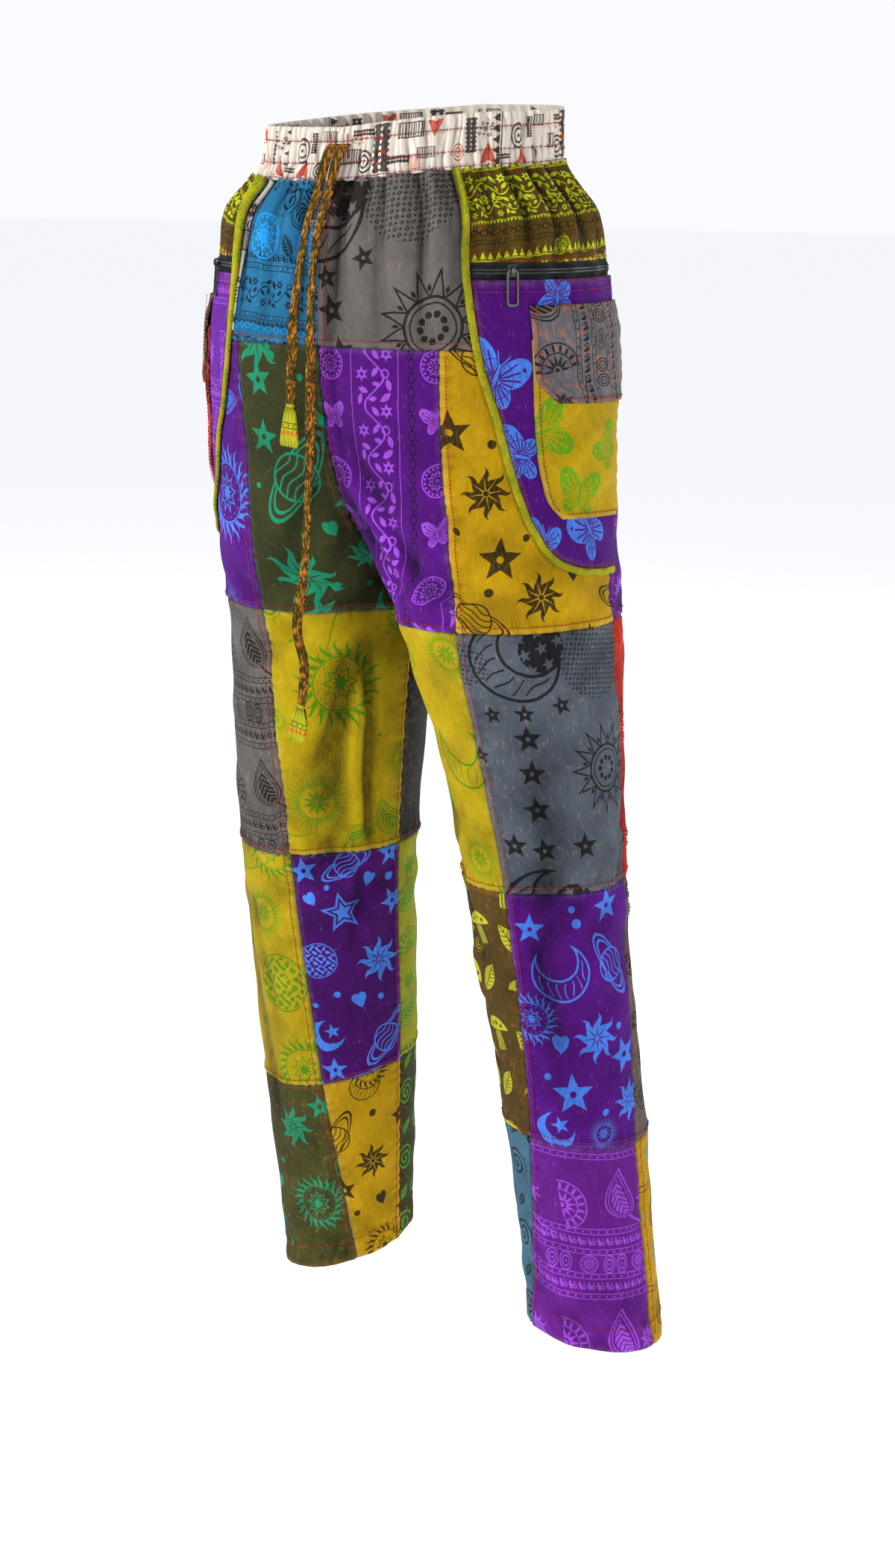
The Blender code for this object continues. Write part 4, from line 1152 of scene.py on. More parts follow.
SUNS_AND_MOON = Print("suns_and_moon", (150, 214), {
    M.BURST: ((66, 92, 25), (42, -84, 22), (14, -34, 16)), M.MOON: ((50, 4, 27, 60),), M.SUN: ((-32, 40, 36),),
    M.FLAME: ((-28, -54, 17),), M.SWIRL: ((12, 84, 12),), M.DOT: ((26, 44, 1.6),),
})
SUNS_AND_GLOBE = Print("suns_and_globe", (150, 214), {
    M.BURST: ((38, 54, 29), (-30, -60, 26)), M.GLOBE: ((48, -12, 28),), M.SUN: ((58, -96, 34), (-34, 30, 38)),
    M.PAISLEY: ((6, 96, 15, 60),), M.FLAME: ((10, -58, 8),),
})
NIGHT = Print("night", (156, 218), {
    M.MOON: ((-30, 92, 38, 4),), M.SKY: ((-8, 98, 20),),
    M.STAR: (
        (-30, 44, 9), (-56, 42, 8, 10), (2, 50, 9, 12), (-30, 22, 12, 4), (-30, -7, 12, -6), (-30, -38, 12, 6),
        (-52, -68, 11), (-28, -72, 11, 8), (8, -70, 12), (-70, 6, 8),
    ),
    M.SPIKY: ((42, -8, 40, 5),), M.SQUARES: ((44, 84, 38), (-72, 84, 20)),
})
FRIEZE = Print("frieze", (112, 124), {
    M.HALF_ROSETTE: ((-24, 38, 21, -80),), M.PAISLEY: ((27, 45, 22, 20),),
    M.BEAD_LINE: ((0, 17, 4.5), (0, -1, 4.5), (0, -23, 4.5), (0, -41, 4.5)), M.DROPS: ((0, 8, 9), (0, -32, 9)),
    M.ARCH: ((-34, -12, 8), (-22, -12, 8), (16, -12, 8), (28, -12, 8)), M.ROSETTE: ((-2, -12, 8), (46, -12, 8)),
    M.FLAME: ((-54, 40, 12),),
})
VINES = Print("vines", (94, 88), {
    M.VINE: ((0, 0, 44),), M.LINES: ((0, 0, 42),), M.ROSETTE: ((52, 20, 13),), M.BUTTERFLY: ((52, -22, 13, 8),),
}, {
    M.LOOPS: ((32, 0, 11),), M.ROSETTE: ((52, 20, 8),),
})
BORDER = Print("border", (88, 72), {
    M.VINE: ((0, 20, 30, 90), (14, 4, 22, 90)), M.TEETH: ((0, -7.5, 3, 180), (0, -33, 7)), M.ROSETTE: ((0, -30, 7),),
}, {
    M.LOOPS: ((0, -15, 9, 90),), M.BEAD_LINE: ((0, -22, 3),),
})
DENIM_PRINT = Print("denim", (132, 132), {
    M.BEAD_LINE: ((0, -6, 4), (0, -45, 3.5)), M.VINE: ((0, -26, 30, 90), (0, 62, 22, 90)),
    M.PAISLEY: ((26, 38, 17, 40), (-46, 14, 15, -30)), M.SWIRL: ((-44, 42, 12), (8, 48, 12)),
    M.LEAF: ((16, 12, 11, 30), (62, 44, 11, -30)), M.DROPS: ((0, 2, 8), (0, -50, 6)),
}, {
    M.ROSETTE: ((-14, 18, 18), (44, 16, 18)), M.FLAME: ((-14, 18, 9),), M.LOOPS: ((0, -54, 9, 90),),
})
BUTTERFLIES = Print("butterflies", (188, 236), {
    M.BUTTERFLY: (
        (-14, 99, 22, 170), (-76, 40, 28, -25), (-58, -20, 24, 80), (22, -80, 30, 35), (70, 62, 24, 12),
        (76, -14, 26, -60), (-44, -88, 20, -20), (24, 44, 20, -40),
    ),
})
POUCH_BUTTERFLIES = Print("pouch_butterflies", (116, 150), {
    M.BUTTERFLY: ((-50, 2, 25, -70), (22, -16, 20, 40), (-18, -50, 24, -12), (36, 40, 18), (-16, 52, 18, 20)),
})
MUSHROOMS = Print("mushrooms", (72, 92), {
    M.MUSHROOM: ((-14, 20, 17, -12), (18, -18, 15, 14)), M.LEAF: ((20, 28, 15, -30), (-20, -26, 16, 35)),
    M.SWIRL: ((2, -42, 7),), M.DOT: ((0, 2, 2),),
})
SWIRLS = Print("swirls", (58, 66), {
    M.SWIRL: ((-13, 14, 14), (15, -16, 13, 60)), M.LEAF: ((16, 16, 9, -40), (-14, -18, 9, 30)),
})
PAISLEYS = Print("paisleys", (78, 92), {
    M.PAISLEY: ((-18, 22, 18, 10), (20, -16, 17, -160)), M.BEAD_LINE: ((0, -44, 5),), M.DOT: ((22, 26, 4),),
}, {
    M.ROSETTE: ((20, 24, 13),), M.FLAME: ((-18, -16, 13),),
})
FOLK = Print("folk", (178, 41), {
    M.BAR: ((34, 1, 14), (-22, 8, 6), (-48, -13, 5, 90), (-76, 4, 10), (46, -9, 7, 90), (20, 14, 6, 90)),
    M.HATCHED: ((10, -3, 9), (56, 12, 10), (68, -6, 7), (-8, 13, 7)),
    M.ARCH: ((-34, 2, 9), (-16, -12, 6), (22, -8, 8)), M.TEETH: ((-54, 0, 9, 90),), M.SQUARES: ((-64, 8, 8),),
}, {
    M.WEDGE: ((74, 12, 6, 180), (-62, -10, 7), (-30, -12, 6)), M.DOT: ((33, 8, 1.6), (36, -2, 1.6), (32, -11, 1.6)),
    M.HATCHED: ((60, -12, 6, 90),), M.SQUARES: ((18, 10, 6),), M.ARCH: ((-86, -8, 6),),
})
FAN = Print("fan", (60, 60), {
    M.BURST: ((0, 16, 26),), M.BEAD_LINE: ((0, -11, 4),),
}, {
    M.TEETH: ((0, -16, 5),),
})
PLAIN = Print("plain", (50, 50), {})


# ---------------------------------------------------------------- finishes


WEAVE_PITCH = 0.62  # millimetres from thread to thread


def linear(colour: str) -> tuple[float, float, float, float]:
    """The scene-linear value of a colour written as six hex digits."""
    parts = [int(colour[k : k + 2], 16) / 255 for k in (0, 2, 4)]
    return (*(c / 12.92 if c <= 0.04045 else ((c + 0.055) / 1.055) ** 2.4 for c in parts), 1.0)


def blend(tree: bpy.types.NodeTree, share: object, a: object, b: object, kind: str = "MIX") -> bpy.types.NodeSocket:
    """A colour mix node over sockets, values or colours."""
    node = tree.nodes.new("ShaderNodeMix")
    node.data_type = "RGBA"
    node.blend_type = kind
    for slot, value in zip((node.inputs[0], node.inputs[6], node.inputs[7]), (share, a, b)):
        value = value.socket if isinstance(value, Value) else value
        if isinstance(value, bpy.types.NodeSocket):
            tree.links.new(value, slot)
        else:
            slot.default_value = value
    return node.outputs[2]


def noise(
    tree: bpy.types.NodeTree, place: Spot, size: float, detail: float = 2.0, stretch: float = 1.0
) -> bpy.types.Node:
    """Noise whose lumps measure this many millimetres, longer along the cloth by stretch."""
    node = tree.nodes.new("ShaderNodeTexNoise")
    node.inputs["Scale"].default_value = 1 / size
    node.inputs["Detail"].default_value = detail
    tree.links.new(place.scaled(1.0, 1 / stretch).vector, node.inputs["Vector"])
    return node


def mottle(tree: bpy.types.NodeTree, place: Spot, size: float, detail: float = 2.0, stretch: float = 1.0) -> Value:
    """The strength of such noise, 0.5 on average."""
    return Value(tree, noise(tree, place, size, detail, stretch).outputs[0])


def new_material(name: str, colour: str) -> tuple[bpy.types.Material, bpy.types.NodeTree, bpy.types.Node]:
    """A node material that shows as this colour, with its tree and its shader."""
    made = bpy.data.materials.new(name)
    made.use_nodes = True
    made.diffuse_color = linear(colour)
    return made, made.node_tree, made.node_tree.nodes["Principled BSDF"]


def cloth_place(tree: bpy.types.NodeTree) -> Spot:
    """Millimetres along the cloth, from the piece's print map."""
    uv = tree.nodes.new("ShaderNodeUVMap")
    uv.uv_map = "Print"
    return Spot(tree, uv.outputs[0]).scaled(1000, 1000)


def solid_place(tree: bpy.types.NodeTree) -> Spot:
    """Millimetres in the piece's own axes."""
    return Spot(tree, tree.nodes.new("ShaderNodeTexCoord").outputs["Object"]).scaled(1000, 1000)


def attribute(tree: bpy.types.NodeTree, name: str) -> Value:
    """A number that the mesh holds for each vertex, 0 where it holds none."""
    node = tree.nodes.new("ShaderNodeAttribute")
    node.attribute_name = name
    return Value(tree, node.outputs["Fac"])


def raise_bump(
    tree: bpy.types.NodeTree, shader: bpy.types.Node, height: Value, distance: float, strength: float = 1.0
) -> None:
    """Let a height stand out of the shaded surface by this distance."""
    bump = tree.nodes.new("ShaderNodeBump")
    bump.inputs["Strength"].default_value = strength
    bump.inputs["Distance"].default_value = distance
    tree.links.new(height.socket, bump.inputs["Height"])
    tree.links.new(bump.outputs[0], shader.inputs["Normal"])


@dataclass(frozen=True)
class Cotton:
    """Printed, garment-washed cotton.

    Attributes:
        ground: colour of the dyed cloth.
        ink: colour of the print.
        print: what is printed.
        shift: place of the print's middle from the middle of the piece, in millimetres.
        turn: turn of the print in degrees.
        scale: size of the print against its own.
        second: colour of the second ink.
        wash: how far the washing has broken up the colour.
        worn: colour of the rubbed flecks and edges, or a paler ground if it is left out.
        scuff: how strong a lump has to be to show as a fleck, so less of it for more flecks.
    """

    ground: str
    ink: str
    print: Print
    shift: tuple[float, float] = (0.0, 0.0)
    turn: float = 0.0
    scale: float = 1.0
    second: str = "C8401C"
    wash: float = 1.0
    worn: str = ""
    scuff: float = 0.60

    def material(self, name: str) -> bpy.types.Material:
        """The finish as a node material."""
        made, tree, shader = new_material(name, self.ground)
        cloth = cloth_place(tree)
        wobble = noise(tree, cloth, 6.0)
        offset = Spot(tree, wobble.outputs["Color"]).shifted(0.5, 0.5).scaled(1.1, 1.1)
        node = tree.nodes.new("ShaderNodeVectorMath")
        tree.links.new(cloth.vector, node.inputs[0])
        tree.links.new(offset.vector, node.inputs[1])
        drawn = Spot(tree, node.outputs[0]).shifted(*self.shift).turned(self.turn)
        drawn = drawn.scaled(1 / self.scale, 1 / self.scale)
        group = tree.nodes.new("ShaderNodeGroup")
        group.node_tree = self.print.group()
        tree.links.new(drawn.vector, group.inputs[0])
        inks = [Value(tree, socket) for socket in group.outputs]

        broad, slubs = mottle(tree, cloth, 34.0, 3.0), mottle(tree, cloth, 1.5, 2.0, 5.0)
        grain, blotch = mottle(tree, cloth, 0.7, 1.0), mottle(tree, cloth, 7.0, 4.0, 1.6)
        near = (1.0 - attribute(tree, "edge") * (1 / (5 * MM))).math("MAXIMUM", 0.0)
        tone = (broad - 0.5) * (0.55 * self.wash) + (slubs - 0.5) * (0.50 * self.wash)
        tone = tone + (grain - 0.5) * (0.35 * self.wash) + (blotch - 0.5) * (0.45 * self.wash) + 1.0
        # Painted shade and highlight: hollows, folds, seam grooves and the crotch darker, crests lighter.
        tone = tone + (attribute(tree, "crest") * 0.15).math("MAXIMUM", -0.62).math("MINIMUM", 0.22)
        worn = (near * (blotch * 1.7 - 0.35) * (0.40 * self.wash)).math("MAXIMUM", 0.0)
        scuffs = mottle(tree, cloth, 1.7, 3.0, 3.0) + (blotch - 0.5) * 0.5 + near * 0.05
        scuffs = ((scuffs - (self.scuff if self.worn else 0.66)) * 5.0).math("MAXIMUM", 0.0).math("MINIMUM", 0.8)
        worn = worn.math("MAXIMUM", scuffs * min(0.7 * self.wash, 1.0))
        pale = linear(self.worn) if self.worn else tuple(0.62 * c + 0.16 for c in linear(self.ground)[:3]) + (1.0,)
        colour = blend(tree, worn, linear(self.ground), pale)
        density = ((slubs - 0.5) * 0.5 + (grain - 0.5) * 0.5 + 0.90).math("MINIMUM", 1.0)
        for share, ink in zip(inks, (self.ink, self.second)):
            colour = blend(tree, share * density, colour, linear(ink))
        grey = tree.nodes.new("ShaderNodeCombineXYZ")
        for slot in grey.inputs:
            tree.links.new(tone.socket, slot)
        colour = blend(tree, 1.0, colour, grey.outputs[0], "MULTIPLY")
        tree.links.new(colour, shader.inputs["Base Color"])

        threads = 2 * math.pi / WEAVE_PITCH
        weave = (cloth.x * threads).math("SINE") * (cloth.y * threads).math("SINE")
        height = weave * 0.10 + slubs * 0.55 + grain * 0.25 + blotch * 0.8
        raise_bump(tree, shader, height, 0.45 * MM, 0.55)
        tree.links.new((grain * 0.12 + 0.80).socket, shader.inputs["Roughness"])
        shader.inputs["Specular IOR Level"].default_value = 0.12
        shader.inputs["Sheen Weight"].default_value = 0.015
        shader.inputs["Sheen Roughness"].default_value = 0.5
        return made


@dataclass(frozen=True)
class Thread:
    """Sewing thread: a twisted strand with a slight shine."""

    colour: str

    def material(self, name: str) -> bpy.types.Material:
        """The finish as a node material."""
        made, tree, shader = new_material(name, self.colour)
        place = cloth_place(tree)
        ply = ((place.x + place.y * 0.6) * (2 * math.pi / 0.5)).math("SINE")
        tone = mottle(tree, place, 9.0)
        dark = tuple(0.45 * c for c in linear(self.colour)[:3]) + (1.0,)
        colour = blend(tree, tone * 1.2 - 0.1 - ply * 0.12, dark, linear(self.colour))
        tree.links.new(colour, shader.inputs["Base Color"])
        raise_bump(tree, shader, ply, 0.1 * MM)
        tree.links.new((tone * 0.2 + 0.5).socket, shader.inputs["Roughness"])
        return made


@dataclass(frozen=True)
class Plating:
    """Dark plated metal, rubbed brighter where it catches."""

    colour: str = "3C3A39"

    def material(self, name: str) -> bpy.types.Material:
        """The finish as a node material."""
        made, tree, shader = new_material(name, self.colour)
        rub = mottle(tree, solid_place(tree), 1.4, 3.0)
        bright = tuple(min(1.9 * c + 0.05, 1.0) for c in linear(self.colour)[:3]) + (1.0,)
        tree.links.new(blend(tree, rub * 1.8 - 0.55, linear(self.colour), bright), shader.inputs["Base Color"])
        tree.links.new((rub * 0.30 + 0.18).socket, shader.inputs["Roughness"])
        shader.inputs["Metallic"].default_value = 0.95
        return made


@dataclass(frozen=True)
class Nylon:
    """Smooth black nylon of a zip's coil."""

    colour: str = "38383C"

    def material(self, name: str) -> bpy.types.Material:
        """The finish as a node material."""
        made, tree, shader = new_material(name, self.colour)
        rub = mottle(tree, solid_place(tree), 2.0)
        tree.links.new(blend(tree, rub, linear(self.colour), linear("4A4A4E")), shader.inputs["Base Color"])
        tree.links.new((rub * 0.25 + 0.25).socket, shader.inputs["Roughness"])
        return made


def finish(obj: bpy.types.Object, coat: Cotton | Thread | Plating | Nylon, *nodes: str) -> bpy.types.Object:
    """Dress a piece and let it ride on the garment.

    Args:
        obj: the piece.
        coat: its finish.
        nodes: the solids that it stands for.

    Returns:
        The same piece.
    """
    obj.data.materials.clear()
    obj.data.materials.append(coat.material(obj.name))
    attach(obj, BODY)
    if nodes:
        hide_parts(*nodes)
    log.info("%s: %d faces", obj.name, len(obj.data.polygons))
    return obj


BLACK, CREAM = "15110E", "D8CDBF"
RED_THREAD = Thread("C8201E")
OLIVE, MUSTARD, YELLOW, PURPLE = "34371A", "B48C06", "A58E08", "4C0C72"
SLATE, GREY, BROWN, PETROL, RED, LIME = "4F5761", "5A5653", "4C3A14", "3D6478", "A8200E", "98981C"
TEAL_INK, GREEN_INK, BLUE_INK, LILAC_INK = "168A64", "3C820C", "4480E4", "9A4CCC"
LEAF_INK, PALE_INK = "3E8A2A", "B4B42A"
TAN, RUST = "A4825A", "B06830"
# Finish of each patch, front inner, front outer, back outer, back inner
PATCHWORK = {
    (Side.RIGHT, "thigh"): (
        Cotton(OLIVE, TEAL_INK, SKY_BIG), Cotton(PURPLE, BLUE_INK, SUNS, (66, -60)),
        Cotton(MUSTARD, BLACK, SKY_LONG, (20, 30)), Cotton(SLATE, BLACK, NIGHT, (10, 0), worn=TAN)),
    (Side.RIGHT, "knee"): (
        Cotton(YELLOW, GREEN_INK, SUNS), Cotton(GREY, BLACK, FRIEZE, (34, 30), worn=TAN),
        Cotton(PETROL, BLACK, SWIRLS), Cotton("3A3836", "1A1816", NIGHT, (30, 40), worn=TAN)),
    (Side.RIGHT, "shin"): (
        Cotton("420A5E", BLUE_INK, SKY_DENSE), Cotton(YELLOW, GREEN_INK, SUNS_AND_GLOBE),
        Cotton(RED, BLACK, SUNS, (20, 30)), Cotton(LIME, LEAF_INK, FRIEZE, (0, 20), 90)),
    (Side.RIGHT, "hem"): (
        Cotton(MUSTARD, BLACK, SKY_SMALL), Cotton("3E3F1A", TEAL_INK, SKY_HEM, worn=RUST),
        Cotton(PURPLE, LILAC_INK, FRIEZE), Cotton(OLIVE, "4E9A30", SWIRLS, worn=RUST)),
    (Side.LEFT, "thigh"): (
        Cotton("4C0C70", LILAC_INK, VINES, second=BLACK), Cotton(MUSTARD, BLACK, SKY_WIDE),
        Cotton(PURPLE, LILAC_INK, FRIEZE, (10, 0)), Cotton(OLIVE, TEAL_INK, SKY_BIG, (30, 0))),
    (Side.LEFT, "knee"): (
        Cotton(YELLOW, GREEN_INK, SUNS_AND_MOON), Cotton(SLATE, BLACK, NIGHT, worn=TAN),
        Cotton("B4240E", BLACK, SUNS, (10, 20)), Cotton(PETROL, BLACK, SWIRLS)),
    (Side.LEFT, "shin"): (
        Cotton(BROWN, PALE_INK, MUSHROOMS, (6, 0), worn=RUST), Cotton("4E0C74", BLUE_INK, SKY_LONG),
        Cotton(GREY, BLACK, FRIEZE, (16, 10), 90, worn=TAN), Cotton(LIME, LEAF_INK, FRIEZE, (0, 0), 90)),
    (Side.LEFT, "hem"): (
        Cotton(PETROL, BLACK, SWIRLS, (10, 10)), Cotton("601A80", LILAC_INK, FRIEZE),
        Cotton(MUSTARD, BLACK, PAISLEYS, second="1F8F9B", worn=RUST), Cotton(BROWN, PALE_INK, MUSHROOMS, worn=RUST)),
}
FRONT_YOKES = {
    Side.LEFT: Cotton("5E5955", BLACK, NIGHT, (-14, -52), 10, 1.15, worn="8A6A60"),
    Side.RIGHT: Cotton("1E6288", "080E14", DENIM_PRINT, second="1C8CD6", wash=1.5),
}
BACK_YOKES = {
    Side.LEFT: Cotton(OLIVE, TEAL_INK, SKY_WIDE, (10, 10)),
    Side.RIGHT: Cotton(PURPLE, BLUE_INK, SKY_LONG, (-20, 10)),
}
SIDE_YOKE = Cotton("4E3C10", "B4C41E", BORDER, (0, 2), second="15120C", worn=RUST)
PANELS = {
    Side.LEFT: Cotton("4A0C70", BLUE_INK, BUTTERFLIES),
    Side.RIGHT: Cotton("60208E", LILAC_INK, FRIEZE, (0, 8)),
}
POUCHES = {
    Side.LEFT: Cotton("B49408", "5A9A14", POUCH_BUTTERFLIES),
    Side.RIGHT: Cotton(RED, BLACK, PAISLEYS),
}
FLAPS = {
    Side.LEFT: Cotton("62666C", BLACK, FRIEZE, (-4, 14), 90, 1.0, worn=RUST, wash=1.6, scuff=0.52),
    Side.RIGHT: Cotton("4A3A30", BLACK, FRIEZE, (10, -10), 90, 0.8, worn=RUST, wash=1.5),
}
BINDING_FINISH = Cotton("9C9C18", "3E7A14", SWIRLS, scale=0.42, wash=1.4, worn="A8781C")
FACING_FINISH = Cotton(CREAM, BLACK, FOLK, second="B43A18", wash=0.5)
BAND_FINISH = Cotton(CREAM, BLACK, FOLK, second="B43A18", wash=0.45)
ZIP_FINISH = Cotton("1B1A1A", BLACK, PLAIN, wash=0.6)
TAPE_FINISH = Cotton("40380E", "14140A", SWIRLS, scale=0.45, wash=1.8, worn="C8801C", scuff=0.47)
TAB_FINISH = Cotton("A8A81A", BLACK, FAN, (0, -6), wash=0.9, worn=RUST)


# ---------------------------------------------------------------- stitching


@dataclass
class Stitching:
    """Rows of machine stitches laid on the cloth, joined into one piece.

    Attributes:
        name: the piece's name.
        length: length of a stitch.
        pitch: distance from one stitch to the next.
        width: width of the thread.
    """

    name: str
    length: float = 2.5 * MM
    pitch: float = 3.2 * MM
    width: float = 0.8 * MM

    def __post_init__(self) -> None:
        """Start with no stitches."""
        self.starts: list[Array] = []
        self.ends: list[Array] = []
        self.normals: list[Array] = []

    def row(self, path: Array, normals: Array) -> None:
        """Sew along a line of points with these outward normals."""
        walked = distances(path[None], 1)[0]
        count = int(walked[-1] / self.pitch)
        if count < 1:
            return
        first = (np.arange(count) + 0.5) * self.pitch - self.length / 2
        for s, store in ((first, self.starts), (first + self.length, self.ends)):
            store.append(np.stack([np.interp(s, walked, path[:, k]) for k in range(3)], -1))
        middle = first + self.length / 2
        self.normals.append(unit(np.stack([np.interp(middle, walked, normals[:, k]) for k in range(3)], -1)))

    def on_cloth(self, half: Half, theta: Array, z: Array, lift: float = 0.0, sewn: bool = True) -> None:
        """Sew along a line of angles and heights."""
        theta, z = np.broadcast_arrays(np.asarray(theta, float), np.asarray(z, float))
        self.row(half.skin(theta, z, lift + 0.12 * MM, sewn), half.facing(theta, z))

    def bars(self, starts: Array, ends: Array, normals: Array) -> None:
        """Lay single stitches between these points."""
        self.starts.append(starts)
        self.ends.append(ends)
        self.normals.append(normals)

    def build(self, thread: Thread) -> bpy.types.Object:
        """Make every stitch as a small rounded bar that dips into the cloth at its ends."""
        a, b, n = (np.concatenate(x) for x in (self.starts, self.ends, self.normals))
        way = unit(b - a)
        across = unit(np.cross(n, way))
        size = self.width / 2
        rings = []
        for share, fat, rise in ((0.0, 0.25, -0.6), (0.22, 0.9, 0.25), (0.78, 0.9, 0.25), (1.0, 0.25, -0.6)):
            middle = a + (b - a) * share + n * (rise * size)
            for k in range(4):
                c, s = math.cos(math.pi * (k + 0.5) / 2), math.sin(math.pi * (k + 0.5) / 2)
                rings.append(middle + across * (c * fat * size * 1.3) + n * (s * fat * size))
        verts = np.stack(rings, 1)
        base = np.arange(len(a))[:, None] * 16
        quads = [
            [r * 4 + k, r * 4 + (k + 1) % 4, (r + 1) * 4 + (k + 1) % 4, (r + 1) * 4 + k]
            for r in range(3)
            for k in range(4)
        ]
        quads += [[3, 2, 1, 0], [12, 13, 14, 15]]
        faces = (base[:, None] + np.array(quads)[None]).reshape(-1, 4)
        along = np.repeat(np.array([0.0, 0.22, 0.78, 1.0]), 4) * self.length
        u = np.arange(len(a))[:, None] * self.pitch + along
        uv = np.stack([u, np.tile(np.tile([0.0, 0.3, 0.6, 0.9], 4) * MM, (len(a), 1))], -1)
        return finish(make_mesh(self.name, verts, [faces], uv), thread)


def line(a: float, b: float, step: float = 2 * MM) -> Array:
    """Even steps from a to b."""
    return np.linspace(a, b, max(2, int(abs(b - a) / step) + 1))


# ---------------------------------------------------------------- pieces of the garment


@dataclass
class Waistband:
    """The gathered elastic band: fine pleats that rows of stitching pinch in.

    Attributes:
        pleats: pleats on each half.
        around: points round the band.
        rows: height of the rows of stitching, as shares of the band's height from its top.
        puff: how far the cloth stands out between the rows.
        pleat: depth of a pleat.
        waves: slower waves on each half, which the gathers below draw up.
        swing: height of those waves.
    """

    pleats: int = 66
    around: int = 1560
    rows: tuple[float, ...] = (0.27, 0.68, 0.95)
    puff: float = 0.9 * MM
    pleat: float = 2.0 * MM
    waves: int = 30
    swing: float = 1.7 * MM

    def wave(self, way: Array, share: Array | float) -> Array:
        """How far the band swings out at this share of the way round and down, calm at the buttonhole."""
        out = self.swing * np.cos(2 * math.pi * self.waves * (way + 0.004 * np.sin(8 * math.pi * way)))
        return out * (0.8 + 0.2 * np.sin(14 * math.pi * way + share)) * (0.1 + 0.9 * smooth((way - 0.02) / 0.04))

    def face(self, v: Array, lift: float, fine: float) -> tuple[Array, Array, Array]:
        """Rings of the band's outer or inner face.

        Args:
            v: heights as shares from the top, one for each ring.
            lift: distance from the band's outer face.
            fine: share of the pleats that show in it.

        Returns:
            The points, their cloth coordinates and their painted shade: darker in the pleats' hollows and at the
            pinched rows, lighter on the crests.
        """
        rings, uvs, painted_shades = [], [], []
        k = np.arange(self.around)
        for half, own in ((HALVES[0], k < self.around / 2), (HALVES[1], k >= self.around / 2)):
            way = 2 * k[own] / self.around
            way = way if half.side is Side.LEFT else 2 - way
            way, share = np.meshgrid(way, v)
            z = half.band_bottom(way) + (1 - share) * BAND_HEIGHT
            theta = (2 * way - 1) * half.reach(z)
            wave = self.wave(way, share)
            phase = math.pi * self.pleats * (way + 0.003 * np.sin(30 * math.pi * way))
            phase = phase + 0.7 * np.sin(6 * share + 40 * way)
            crest = np.abs(np.sin(phase)) ** 0.6 - 0.6
            depth = self.pleat * (0.7 + 0.3 * np.sin(23 * math.pi * way + 5 * share)) * fine
            pinch = sum(bell((share - row) * BAND_HEIGHT, 1.5 * MM) for row in self.rows)
            swell = self.puff * np.sin(math.pi * np.clip(share, 0, 1)) ** 0.5 - 0.9 * MM * pinch * (fine > 0)
            out = wave + crest * depth * (1 - 0.45 * pinch) + swell + lift
            points_ = half.form(theta, z) + half.outward(theta, z) * out[..., None]
            points_[..., 0] = half.sign * np.maximum(points_[..., 0], 0.0) + half.section(z)[4]
            rings.append(points_)
            uvs.append(np.stack([half.sign * way * 0.36, (0.5 - share) * BAND_HEIGHT], -1))
            # Painted shade: the pleats' hollows and the pinched stitch rows darker, the crests lighter.
            painted_shades.append((2.4 * crest * depth + 0.6 * wave - 1.2 * MM * pinch) / MM)
        return np.concatenate(rings, 1), np.concatenate(uvs, 1), np.concatenate(painted_shades, 1)

    def build(self) -> None:
        """Make the band as one closed ring."""
        outer, outer_uv, outer_painted_shade = self.face(np.array([0.015, *np.linspace(0.04, 0.96, 26), 0.985]), 0.0, 1.0)
        lip, lip_uv, lip_painted_shade = self.face(np.array([1.0, 0.985, 0.5, 0.015, 0.0]), -BAND_WALL, 0.0)
        lip[0] = lip[0] * 0.45 + outer[-1] * 0.55
        lip[-1] = lip[-1] * 0.45 + outer[0] * 0.55
        lip[0, :, 2] -= 0.5 * MM
        lip[-1, :, 2] += 0.5 * MM
        rings, uvs = np.concatenate([outer, lip]), np.concatenate([outer_uv, lip_uv])
        faces = grid_faces(len(rings), self.around, wrap=True)
        last = (len(rings) - 1) * self.around
        k = np.arange(self.around)
        n = (k + 1) % self.around
        faces = np.concatenate([faces, np.stack([last + k, last + n, n, k], -1)])
        crest = np.concatenate([outer_painted_shade, lip_painted_shade])
        made = make_mesh("gathered_band", rings, [faces], uvs, np.full(uvs.shape[:2], 0.02), crest)
        finish(made, BAND_FINISH, "waistband")

    def stitch(self, sewing: Stitching) -> None:
        """Sew the rows round the band."""
        for row in self.rows:
            for half in HALVES:
                way = np.linspace(0.0, 1.0, 700)
                z = half.band_bottom(way) + (1 - row) * BAND_HEIGHT
                theta = (2 * way - 1) * half.reach(z)
                out = self.wave(way, row) + self.puff * math.sin(math.pi * row) ** 0.5 - 0.35 * MM
                path = half.form(theta, z) + half.outward(theta, z) * out[:, None]
                path[:, 0] = half.sign * np.maximum(path[:, 0], 0) + half.section(z)[4]
                sewing.row(path, half.facing(theta, z))

    def buttonhole(self) -> None:
        """The satin-stitched slit that the drawstring comes out of."""
        satin = Stitching("buttonhole", length=2.2 * MM, width=0.5 * MM)
        half, count = HALVES[0], 34
        height = np.linspace(-7 * MM, 11 * MM, count)
        centre = half.skin(-half.reach(height), height, 0.0, False)[:, 1].min()
        for x in (-8.2 * MM, 8.2 * MM):
            start = np.stack([np.full(count, x - 1.3 * MM), np.full(count, centre + 2.6 * MM), height], -1)
            end = start + np.array([2.6 * MM, 0, 0.3 * MM])
            satin.bars(start, end, np.tile([0.0, -1.0, 0.0], (count, 1)))
        satin.build(RED_THREAD)


